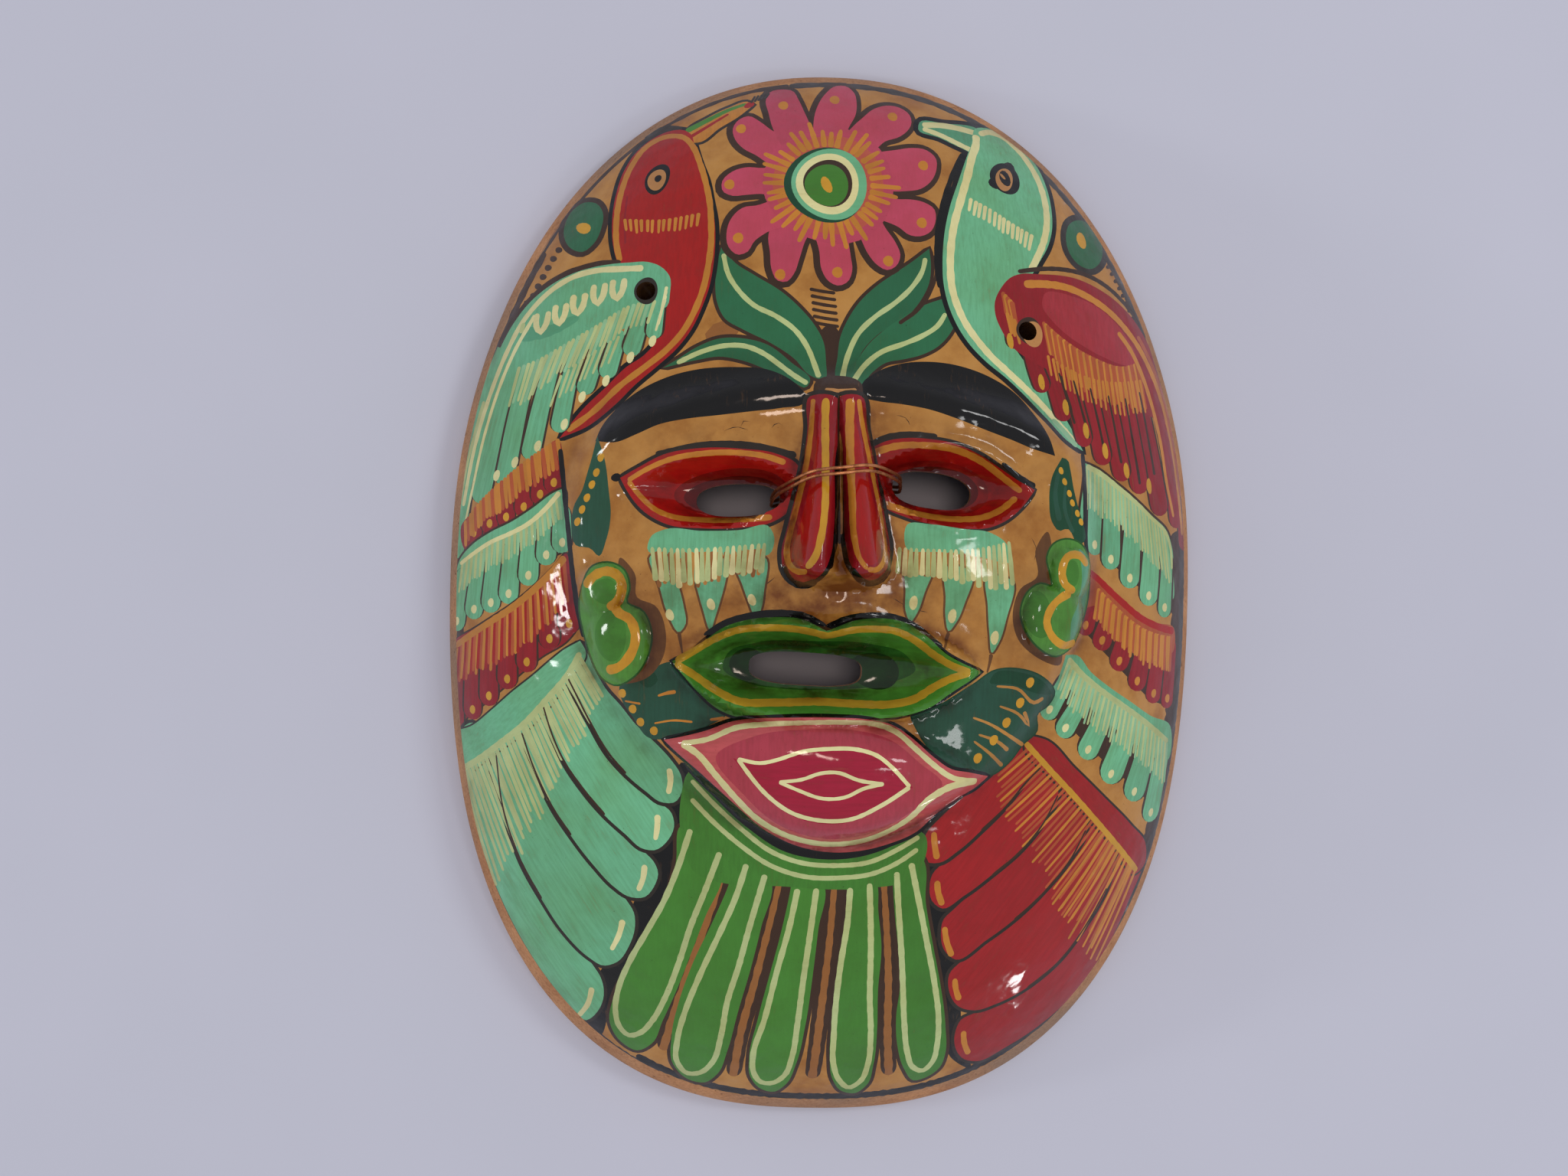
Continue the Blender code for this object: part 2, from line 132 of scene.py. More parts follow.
# the face stands up from the feathers inside a shield-shaped line; a ridge and hollows make the brows
def faceAndBrows(x, y):
    above = y > face["stepMiddle"]
    halfHeight = np.where(above, face["stepUp"], face["stepDown"])
    line = ovalRing(x, y - face["stepMiddle"], (face["stepHalf"], halfHeight), np.where(above, 3.0, 1.8))
    step = face["step"] * (1.0 - smoothRamp(0.92, 1.02, line)) * (1.0 - smoothRamp(*face["stepFade"], y))
    crest = face["browMiddle"] - face["browDrop"] * (x / face["browHalf"]) ** 2
    ends = 1.0 - smoothRamp(0.9, 1.12, np.abs(x) / face["browHalf"])
    ridge = face["browRise"] * bell((y - crest) / face["browSpread"]) * ends
    across = bell((np.abs(x) - face["socketMiddle"][0]) / face["socketHalf"][0])
    upDown = bell((y - face["socketMiddle"][1]) / face["socketHalf"][1])
    return step + ridge - face["socketDepth"] * across * upDown


# a pointed lens with a low lip that slopes down to its hole
def eyeForm(x, y, shape):
    u, v = turnedTo(x, y, shape["lens"], shape["turn"])
    inside = 1.0 - np.abs(u / shape["lensHalf"][0]) ** 1.8 - softAbs(v / shape["lensHalf"][1], 0.1)
    holeU, holeV = turnedTo(x, y, shape["hole"], shape["turn"])
    t = towardsHole(inside, ovalRing(holeU, holeV, shape["holeHalf"], face["eyeFullness"]), 0.45)
    lip = face["eyeLip"] * bell((t - 0.2) / 0.14) * (inside > 0)
    return lip - face["eyeDepth"] * smoothRamp(0.22, 1.0, t)


# a wedge that widens and rises to the tip, carrying two long lobes with round ends
def noseForm(x, y):
    t = np.clip((face["noseTop"] - y) / (face["noseTop"] - face["noseTip"]), 0.0, 1.0)
    rise = face["noseTopRise"] + (face["noseTipRise"] - face["noseTopRise"]) * np.sin(t * math.pi / 2) ** 1.5
    pastTip = np.clip(face["noseTip"] - y, 0.0, None)
    side = np.abs(x - face["noseMiddle"])
    half = face["noseHalf"][0] + (face["noseHalf"][1] - face["noseHalf"][0]) * t
    wedge = 1.0 - smoothRamp(0.3, 1.0, np.hypot(side / half, pastTip / face["noseEnd"]))
    out = face["lobeOut"][0] + (face["lobeOut"][1] - face["lobeOut"][0]) * t
    lobeHalf = face["lobeHalf"][0] + (face["lobeHalf"][1] - face["lobeHalf"][0]) * t
    lobe = 1.0 - np.clip(np.hypot((side - out) / lobeHalf, pastTip / face["lobeEnd"]), 0.0, 1.0) ** 2.6
    fade = 1.0 - smoothRamp(face["noseTop"] - 2.0, face["noseTop"] + 4.0, y)
    return rise * fade * ((1.0 - face["lobeShare"]) * wedge + face["lobeShare"] * lobe)


# full lips round a recess that falls to the slot, under a round hill, with a swelling on each cheek
def mouthAndCheeks(x, y):
    hill = bell(x / face["lipHillHalf"][0]) * bell((y - face["lipHillMiddle"]) / face["lipHillHalf"][1])
    cheek = bell((np.abs(x) - face["cheekMiddle"][0]) / face["cheekHalf"][0])
    cheek = cheek * bell((y - face["cheekMiddle"][1]) / face["cheekHalf"][1])
    dx, dy = x - face["lipMiddle"][0], y - face["lipMiddle"][1]
    u = np.clip(np.abs(dx / face["lipHalf"]), 0.0, 0.999)
    upper = face["lipUp"] * (1.0 - u**2.7) - face["bowDip"] * bell(dx / face["bowHalf"])
    lower = face["lipDown"] * (1.0 - u**3.2)
    inside = (1.0 - u**3) * (1.0 - softAbs(dy, 0.8) / np.where(dy > 0, upper, lower))
    slotU, slotV = turnedTo(x, y, face["slot"], face["slotTurn"])
    t = towardsHole(inside, ovalRing(slotU, slotV, face["slotHalf"], face["slotFullness"]), 0.25)
    lips = face["lipRise"] * smoothRamp(0.0, face["lipSlope"], t)
    lips = lips - face["lipRecess"] * smoothRamp(face["lipSlope"], 1.0, t)
    return face["lipHillRise"] * hill + face["cheekRise"] * cheek + lips


# a boss with pointed ends, steep below and gentle above, and flat-topped lobes for the ears
def chinAndEars(x, y):
    u, v = turnedTo(x, y, face["chinMiddle"], face["chinTurn"])
    u = np.clip(np.abs(u / face["chinHalf"]), 0.0, 0.999)
    up = np.clip(v / (face["chinUp"] * (1.0 - u**2.1)), 0.0, 1.0)
    down = np.clip(-v / (face["chinDown"] * (1.0 - u**1.7)), 0.0, 1.0)
    height = face["chinRise"] * (1.0 - u**2) ** 0.8 * (1.0 - up**2) * (1.0 - down**3.2)
    ears = np.zeros_like(height)
    for centre, half in face["earLobes"]:
        ring = np.clip(ovalRing(x - centre[0], y - centre[1], half, 2.2), 0.0, 1.0)
        ears = np.maximum(ears, face["earRise"] * (1.0 - ring**5))
    return height + ears


# low waves left by fingers, nothing at the rim: a few sines of 20 to 50 mm wavelength
def fingerWaves(x, y):
    waves = np.sin(x / 5.3 + 1.3 * np.sin(y / 9.0)) * np.cos(y / 6.1 + 0.6)
    waves = waves + 0.8 * np.sin(x / 3.1 - y / 4.3 + 2.0) * np.cos(x / 8.0 + y / 3.9)
    return clay["wobble"] * 0.5 * waves * (1.0 - smoothRamp(0.86, 0.99, maskRing(x, y)))


def frontHeight(x, y):
    height = clay["rimHeight"] + clay["domeRise"] * bowl(maskRing(x, y))
    height = height + faceAndBrows(x, y) + noseForm(x, y) + mouthAndCheeks(x, y) + chinAndEars(x, y)
    return height + eyeForm(x, y, face["leftEye"]) + eyeForm(x, y, face["rightEye"]) + fingerWaves(x, y)


# slope of the front along x and y, from points half a millimetre to each side
def frontSlope(x, y, d=0.5):
    across = frontHeight(x + d, y) - frontHeight(x - d, y)
    up = frontHeight(x, y + d) - frontHeight(x, y - d)
    return np.array([across, up]) / (2 * d)


# the hollow is the same kind of dome, one wall in, thumbed out a little behind the nose
def hollowHeight(x, y):
    rise = clay["rimHeight"] + clay["domeRise"] - clay["crownWall"] - clay["hollowLip"]
    half = clay["thumbHalf"]
    behindNose = clay["thumbRise"] * bell(x / half[0]) * bell((y - clay["thumbMiddle"]) / half[1])
    ring = maskRing(x, y, clay["rimWall"])
    dents = clay["dents"] * np.sin(x / 4.1 + 0.7 * np.sin(y / 7.0)) * np.cos(y / 5.2) * (1.0 - ring**4)
    return clay["hollowLip"] + rise * bowl(ring) + behindNose + dents


# moves points to the outline, drawn in by inset, along the line to the middle
def toOutline(flat, inset):
    for _ in range(6):
        flat = flat / np.maximum(maskRing(flat[:, 0], flat[:, 1], inset), 1e-6)[:, None]
    return flat


# The painter's colours. Names with "pale" or "deep" are the same pot, thinner or loaded, except these: the
# two darkest eye reds are painted shade round the eye holes, the deep and darkest lip greens are partly
# painted shade in the mouth, and the pale wing red is partly painted sheen.
paints = dict(
    ochre="#b9843f", ochreShade="#9a6430", shade="#6a4420", umber="#3b2515",
    black="#070605", softBlack="#2b241c",
    mint="#6fbb8e", mintPale="#93c698", mintDeep="#58a37b", comb="#b9c88a", cream="#e2dfa4", skin="#c08a52",
    red="#a3110b", redDeep="#850f0a", redDark="#5a0806", redPale="#ab2c36",
    crimson="#93121d", fanRed="#a0191c",
    orange="#c8832c", rust="#b4552a", yellow="#cf9a2a", lipYellow="#c29c2c",
    pink="#bf4660", coral="#c25a48", chinPink="#c4565a", chinDeep="#ac3b4a", chinRed="#a01634",
    leaf="#286a45", leafDeep="#10452c", teal="#255340",
    grass="#43832b", grassPale="#569a3c", grassDeep="#245a1a", grassDark="#16380f",
)
painted = []  # strokes in the order they were laid down: outline, colour, brush direction in degrees, streaks


# "x y, x y, ..." to an array; a star after a pair makes a sharp corner there
def readPairs(text):
    pairs = [pair.split() for pair in text.split(",")]
    corners = [i for i, pair in enumerate(pairs) if pair[-1] == "*"]
    return np.array([[float(a) for a in pair[:2]] for pair in pairs]), corners


# smooth line through points: cubic pieces whose slopes are the chord-weighted mean of both neighbours
def smoothLine(points, closed=False, step=1.0):
    if closed:
        points = np.vstack([points, points[:1]])
    chord = np.hypot(*np.diff(points, axis=0).T)
    along = np.concatenate([[0.0], np.cumsum(chord)])
    slope = np.diff(points, axis=0) / chord[:, None]
    before, after = np.roll(slope, 1, axis=0), slope
    weightBefore = (chord / (chord + np.roll(chord, 1)))[:, None]
    tangent = before * weightBefore + after * (1.0 - weightBefore)
    last = tangent[0] if closed else slope[-1]
    if not closed:
        tangent[0] = slope[0]
    tangent = np.vstack([tangent, last])
    at = np.linspace(0.0, along[-1], max(int(along[-1] / step), 4) + 1)
    at = at[:-1] if closed else at
    i = np.clip(np.searchsorted(along, at, side="right") - 1, 0, len(chord) - 1)
    t = ((at - along[i]) / chord[i])[:, None]
    size = chord[i][:, None]
    return ((2 * t**3 - 3 * t**2 + 1) * points[i] + (t**3 - 2 * t**2 + t) * size * tangent[i]
            + (3 * t**2 - 2 * t**3) * points[i + 1] + (t**3 - t**2) * size * tangent[i + 1])


# closed outline from text, smooth except at its starred corners
def outlineFrom(text):
    points, corners = readPairs(text)
    if not corners:
        return smoothLine(points, closed=True)
    points = np.roll(points, -corners[0], axis=0)
    cuts = [c - corners[0] for c in corners] + [len(points)]
    ring = np.vstack([points, points[:1]])
    return np.vstack([smoothLine(ring[a:b + 1])[:-1] for a, b in zip(cuts, cuts[1:])])


# area inside an outline, negative when it runs clockwise: sum(x*y' - y*x') / 2
def areaOf(outline):
    x, y = outline.T
    return np.sum(x * np.roll(y, -1) - y * np.roll(x, -1)) / 2.0


def counterClockwise(outline):
    return outline if areaOf(outline) > 0 else outline[::-1]


# outline moved outwards along its normals
def grown(outline, by):
    outline = counterClockwise(outline)
    way = np.roll(outline, -1, axis=0) - np.roll(outline, 1, axis=0)
    way = way / np.maximum(np.hypot(*way.T), 1e-6)[:, None]
    return outline + by * np.column_stack([way[:, 1], -way[:, 0]])


# a brush stroke: a line widened by half*taper, with round ends sqrt(1 - (1 - s/r)^2) for s from 0 to r
def strokeAlong(line, width, taper=(1.0, 1.0), wave=0.0, step=1.0):
    chord = np.hypot(*np.diff(line, axis=0).T)
    along = np.concatenate([[0.0], np.cumsum(chord)])
    length = along[-1]
    r = min(width * 0.5, length * 0.45)
    ends = r * (np.array([0.0, 0.12, 0.5]) if width < 1.4 else np.array([0.0, 0.08, 0.3, 0.62]))
    middle = np.linspace(r, length - r, max(int((length - 2 * r) / step), 1) + 1)
    at = np.concatenate([ends, middle, length - ends[::-1]])
    x, y = np.interp(at, along, line[:, 0]), np.interp(at, along, line[:, 1])
    dx, dy = np.gradient(x, at), np.gradient(y, at)
    norm = np.maximum(np.hypot(dx, dy), 1e-9)
    nearest = np.clip(np.minimum(at, length - at) / r, 0.0, 1.0)
    t = at / length
    half = width / 2 * (taper[0] + (taper[1] - taper[0]) * t) * np.sqrt(1.0 - (1.0 - nearest) ** 2)
    half = half * (1.0 + wave * np.sin(at * 1.9 + x) + 0.6 * wave * np.sin(at * 4.3 - y))
    side = np.column_stack([-dy / norm * half, dx / norm * half])
    middleLine = np.column_stack([x, y])
    return np.vstack([middleLine + side, (middleLine - side)[-2:0:-1]])


def lay(outline, paint, grain=90.0, streaked=0.25):
    painted.append((outline, paint, grain, streaked))


# a filled shape, with a darker edge showing round it where edge is given
def fill(paint, text, edge=0.0, edgePaint="umber", grain=90.0):
    outline = outlineFrom(text)
    if edge:
        lay(grown(outline, edge), edgePaint, grain)
    lay(outline, paint, grain, 0.7)


# direction in degrees from the start of a line to its end
def runOf(points):
    run = points[-1] - points[0]
    return math.degrees(math.atan2(run[1], run[0]))


# a line of paint; the brush direction follows it
def line(paint, width, text, taper=(1.0, 1.0), wave=0.06):
    points = smoothLine(readPairs(text)[0])
    lay(strokeAlong(points, width, taper, wave), paint, runOf(points))


def lines(paint, width, texts, taper=(1.0, 1.0), wave=0.06):
    for text in texts:
        line(paint, width, text, taper, wave)


# an oval touch of the brush
def dot(paint, x, y, half, tall, turn=0.0):
    angle = np.linspace(0.0, 2.0 * math.pi, 12 if tall < 2.5 else 40, endpoint=False)
    c, s = math.cos(math.radians(turn)), math.sin(math.radians(turn))
    u, v = half * np.cos(angle), tall * np.sin(angle) * (1.0 + 0.12 * np.cos(angle))
    lay(np.column_stack([x + u * c - v * s, y + u * s + v * c]), paint, turn)


def dots(paint, text, half, tall, turn=0.0):
    for x, y in readPairs(text)[0]:
        dot(paint, x, y, half, tall, turn)


# a feather: a wide stroke from its root to its round tip, dark round the edge
def feather(paint, width, text, edge=0.7, edgePaint="umber"):
    points = smoothLine(readPairs(text)[0])
    lay(strokeAlong(points, width + 2 * edge, (0.8, 1.0)), edgePaint, runOf(points))
    lay(strokeAlong(points, width, (0.8, 1.0)), paint, runOf(points), 1.0)


# a row of strokes that start on a line; length and angle run along it through the values given
def strokesFrom(paint, text, count, length, angle, width=0.9, taper=(1.0, 0.7)):
    root = smoothLine(readPairs(text)[0])
    share = (np.arange(count) + 0.5 + seeded.uniform(-0.1, 0.1, count)) / count
    where = np.linspace(0.0, 1.0, len(root))
    x, y = np.interp(share, where, root[:, 0]), np.interp(share, where, root[:, 1])
    lengths = np.interp(share, np.linspace(0.0, 1.0, len(length)), length) * seeded.uniform(0.9, 1.1, count)
    angles = np.interp(share, np.linspace(0.0, 1.0, len(angle)), angle) + seeded.uniform(-1.0, 1.0, count)
    angles = np.radians(angles)
    colours = [paint] if isinstance(paint, str) else paint
    t = np.linspace(0.0, 1.0, 6)
    for i in range(count):
        sideways, upward = lengths[i] * t * np.cos(angles[i]), lengths[i] * t * np.sin(angles[i])
        path = np.column_stack([x[i] + sideways, y[i] + upward])
        lay(strokeAlong(path, width, taper, 0.08, 1.9), colours[i % len(colours)], math.degrees(angles[i]))


# points on the mask's outline, drawn in by inset, at angles in radians
def onRim(angle, inset):
    ring = np.column_stack([np.cos(angle) * clay["halfWidth"], np.sin(angle) * clay["halfLength"]])
    return toOutline(ring, inset)


# part of a line drawn along the rim at an inset, from one angle to another
def alongRim(paint, width, inset, fromAngle, toAngle, taper=(1.0, 1.0)):
    flat = onRim(np.radians(np.linspace(fromAngle, toAngle, 90)), inset)
    lay(strokeAlong(flat, width, taper, 0.12), paint)


# a row of ovals beside the rim, each square to it
def rimDots(inset, fromAngle, toAngle, count, half, tall):
    for x, y in onRim(np.radians(np.linspace(fromAngle, toAngle, count)), inset):
        outward = math.atan2(y / clay["halfLength"]**2, x / clay["halfWidth"]**2)
        dot("umber", x, y, half, tall, math.degrees(outward) - 90.0)


# the ground: lacquered ochre inside the bare rim, a dark line round it
def paintGround():
    angle = np.radians(np.linspace(0.0, 360.0, 420, endpoint=False))
    lay(onRim(angle, clay["rawBand"] * 0.5), "ochre", 90.0, 0.0)
    for paint, width, inset, fromAngle, toAngle, taper in (
        ("softBlack", 1.7, 3.1, 20.0, 97.0, (1.0, 1.0)), ("umber", 1.2, 2.9, 97.0, 150.0, (1.0, 0.6)),
        ("umber", 2.2, 3.3, 140.0, 196.0, (0.8, 1.0)), ("black", 1.7, 3.0, 196.0, 246.0, (0.6, 1.0)),
        ("black", 1.9, 4.5, 242.0, 316.0, (1.0, 1.0)), ("umber", 4.4, 4.4, 312.0, 368.0, (0.6, 1.1)),
        ("softBlack", 1.6, 3.0, 310.0, 380.0, (1.0, 1.0)),
    ):
        alongRim(paint, width, inset, fromAngle, toAngle, taper)


# the flower: eleven petals round a ringed eye
flower = dict(
    petals=(
        "-5 105, -4 110, -2 114, 0.5 116.6, 2.8 116.7, 4.4 115, 5 111, 4.6 108, 3 104.5, 0 98, -4 98",
        "4 104.8, 6 107, 9 110, 12 111.2, 14.5 111, 17 109, 17.3 106.5, 16 104, 14 102.3, 11 101, 9 99, "
        "4 96, 1 99",
        "9.5 98, 13 98.8, 17 99.7, 20 99.5, 22.3 97.5, 22.3 94.5, 21 91.5, 18.5 89.3, 15 88.5, 12 88.3, "
        "6 91, 5 96",
        "9 87.5, 13 86.4, 16 86.5, 19 86, 21.3 84.5, 21.5 81.5, 20.3 79, 18 77.8, 15.5 78, 13.5 79.5, 8 82, "
        "5 86",
        "3 80, 4.7 77, 6.5 73, 8.5 70.5, 10.5 69.5, 12.5 70.5, 13.5 73, 12.5 76, 10.5 79, 8 83, 4 84",
        "-5 80, -4 73, -3.5 69, -2 66.5, 0 65.6, 2 66.5, 3 69, 2.7 72.5, 2.3 75.5, 2 81, -2 84",
        "-13 82, -15 76.5, -14.6 73, -14.2 69, -13 66.6, -11 66.3, -9.5 68, -8.3 71.5, -7.3 75, -5 81, -9 85",
        "-13 85.5, -17.5 84, -20.5 83.5, -23 81, -24 77.5, -23.5 74.2, -21.5 72.4, -19.5 73, -18 75.5, "
        "-15.5 77.5, -9 81, -9 85",
        "-12 93.5, -16.5 93.3, -20 93.5, -23 92.5, -25.2 90, -25 87.7, -23 86.5, -20 86.6, -16.5 86.8, "
        "-12 86",
        "-14 103, -17 105.7, -19.5 107.3, -21.5 106.5, -23 104, -22.5 101, -20.5 98.3, -18 96.7, -14 94, "
        "-9 95, -9 101",
        "-14 103.5, -15 108, -15.6 112, -14.5 114.6, -12 115.3, -9.5 114.8, -8.2 112, -7 108.5, -6 105.5, "
        "-5 99, -11 98",
    ),
    tips="0 112.2, 13 108, 19.3 95.3, 18.4 81, 10.8 71.6, -0.2 68.6, -12.4 67.9, -21.5 76.3, -23.6 89.3, "
         "-21.2 103.8, -11.7 110.3",
    centre=(-2.0, 89.6),
)


def paintFlower():
    cx, cy = flower["centre"]
    for text in flower["petals"]:
        petal = outlineFrom(text)
        lay(grown(petal, 1.25) + (-0.2, -0.15), "umber")
    for text in flower["petals"]:
        lay(outlineFrom(text), "pink")
    dot("pink", cx, cy, 14.4, 14.4)
    dot("coral", cx, cy, 12.2, 12.2)
    dots("orange", flower["tips"], 1.15, 1.25)
    angle = np.linspace(0.0, 2 * math.pi, 38, endpoint=False)
    for a in angle + seeded.uniform(-0.03, 0.03, 38):
        reach = 15.2 + seeded.uniform(-1.8, 1.2)
        t = np.linspace(9.2, reach, 5)[:, None]
        stroke = np.array([cx, cy]) + t * [math.cos(a), math.sin(a)]
        lay(strokeAlong(stroke, 1.15, (1.2, 0.8), 0.08), "orange", math.degrees(a))
    dot("leafDeep", cx - 0.7, cy - 0.2, 9.0, 9.3)
    dot("mint", cx + 0.2, cy, 8.3, 8.8)
    dot("cream", cx - 0.2, cy, 6.9, 7.5)
    dot("umber", cx - 0.1, cy + 0.1, 5.4, 5.8)
    dot("grass", cx - 0.4, cy - 0.4, 4.8, 5.1)
    dot("yellow", cx - 0.4, cy - 0.4, 1.1, 2.1, 22.0)


# the stem and its four leaves
leaves = dict(
    shapes=(
        "-25 74.5 *, -22 70.5, -18 67.8, -12 64, -8 60.3, -5 56.7, -3.1 53, -2.6 49, -3 44.5, -6 45.5, "
        "-9 49, -14 52.5, -20 55.5, -24 58, -25.7 61.5, -26.2 66, -26 70",
        "-37 47.2 *, -34 49, -30 51.6, -25 53.6, -20 53.6, -15 52.3, -10 48.5, -6 44, -6.8 42.8, -10 44.3, "
        "-15 46.7, -20 48.7, -25 49.6, -30 48.8",
        "19.9 75 *, 16 71.7, 12 68.7, 8 65.6, 4.5 62, 2 58, 0.4 54, -0.1 50, -0.3 44.5, 2.5 43.5, 3.6 47, "
        "5 51, 8 54.6, 12 57.6, 16 60.6, 18.2 63.7, 19.7 67, 20.2 71",
        "25.3 64.6 *, 22 63.4, 19 62.2, 14 59.2, 10 56.2, 6 52.2, 3.6 48, 2.6 43.6, 4.5 43.6, 7 46.4, "
        "10 48.8, 14 49.8, 18 51, 21.5 53, 24.5 56.6, 26 60.5",
    ),
    veins=(
        "-24.6 72.7, -23.5 68, -21 64, -18 61, -13 58.4, -9 55.4, -6.3 51.4, -5 48, -4.1 45",
        "-34 48.2, -29 50.6, -24 52, -19.5 51.9, -16 50.5, -12 47.6, -9 45.2, -6.5 43.6",
        "19 72.8, 18.4 70, 16 66, 12 62, 8 59, 4.2 55, 2 50, 0.6 44.4",
        "23.2 60.4, 21.5 57.6, 18 55.1, 14 53.2, 9 51.1, 5.5 48, 3 44.3",
    ),
    hatches="-3.4 64.2, -3.2 62.7, -3 61.2, -2.9 59.7, -2.7 58.2, -2.6 56.8",
)


def paintLeaves():
    line("ochreShade", 4.2, "-27 52.5, -25 55.5, -21 55.2", (1.0, 0.7))
    line("umber", 5.0, "-1.6 57, -1.9 50, -1.2 43.5", (0.7, 1.2))
    for text in leaves["shapes"]:
        lay(grown(outlineFrom(text), 0.75), "umber")
    for text in leaves["shapes"]:
        lay(outlineFrom(text), "leaf")
    lines("comb", 1.15, leaves["veins"], (0.9, 1.0))
    line("umber", 0.9, "20.9 73.5, 21.3 69.5, 19.8 64.8, 17.6 61.4, 13 57.6", (0.7, 1.0))
    for x, y in readPairs(leaves["hatches"])[0]:
        line("umber", 0.75, f"{x - 2.7} {y + 0.5}, {x} {y}, {x + 2.8} {y - 0.3}")


# the left bird is red with a mint wing
leftBird = dict(
    body="-34 104.4, -37.5 104.6, -41.5 102.8, -45 99.5, -47.6 94.5, -49 88.5, -49.5 82, -49 76, -47.5 71, "
         "-44 66, -40 60, -38.5 53.5, -41 50.2, -45 47.5, -49 43.5, -54 38.8, -59.3 32.3 *, -52.6 35, "
         "-47 39.4, -43 43.5, -38 47.8, -34.2 51.3, -31.2 55.4, -29 60.3, -27.5 65, -26.7 70, -26.4 75, "
         "-26.6 80, -27.5 85, -28.5 90, -30.2 95, -31.6 100, -32.4 103",
    trim="-47.2 71.8, -48.2 76, -48.5 82, -47.8 89, -45.8 95.8, -42.2 101.2, -38 103.1, -34 102.3, "
         "-31.9 99.6, -30.2 95, -28.8 90, -27.8 85, -27.4 80, -27.3 75, -27.8 70, -28.7 65, -30.4 60, "
         "-33 55, -36.5 51, -41 47.4, -46 43.6, -52 37.9, -57.6 33.9",
    beak="-34.5 101.5, -33 104.6, -29 107.4, -24 110.2, -19.5 111.6, -18.3 110.6 *, -22 107, -26 104.2, "
         "-30.5 100.6",
    wing="-45 71.4, -41 71.3, -38 70, -36 67.5, -35.9 64, -36.4 61, -38.6 59.6, -42 58, -48 55, -56 50.6, "
         "-65 47, -75 43, -80 42, -78.3 47, -75.5 53, -72 59.5, -68 64.3, -63 67.8, -57 70.2, -50 71.3",
    feathers=(
        (5.2, "-71 60, -76 48, -81.5 28, -84.9 6"), (5.0, "-69 57, -73.5 40, -78.3 18.5"),
        (4.8, "-66 54, -69.5 38, -72.2 22"), (4.6, "-61 52, -64 39, -66.2 27.8"),
        (4.2, "-56 52, -58 43, -59.6 33.6"), (4.2, "-50.5 54, -54.3 41.8"), (4.2, "-46.5 56, -49.4 45.2"),
        (4.2, "-41.5 60, -44.3 50"), (3.6, "-38.2 64, -39.3 53.6"),
    ),
    tips="-74 24.6, -69.6 27.4, -64.3 30.8, -58.3 35.4, -54.5 41.3, -49.3 44.7, -44.1 49.7, -39.4 53.2",
    cups=((-47.2, 65.8, 1.0), (-51.5, 65, 1.0), (-56, 63, 1.05), (-60.2, 61, 1.0), (-64.5, 59.5, 1.1)),
)


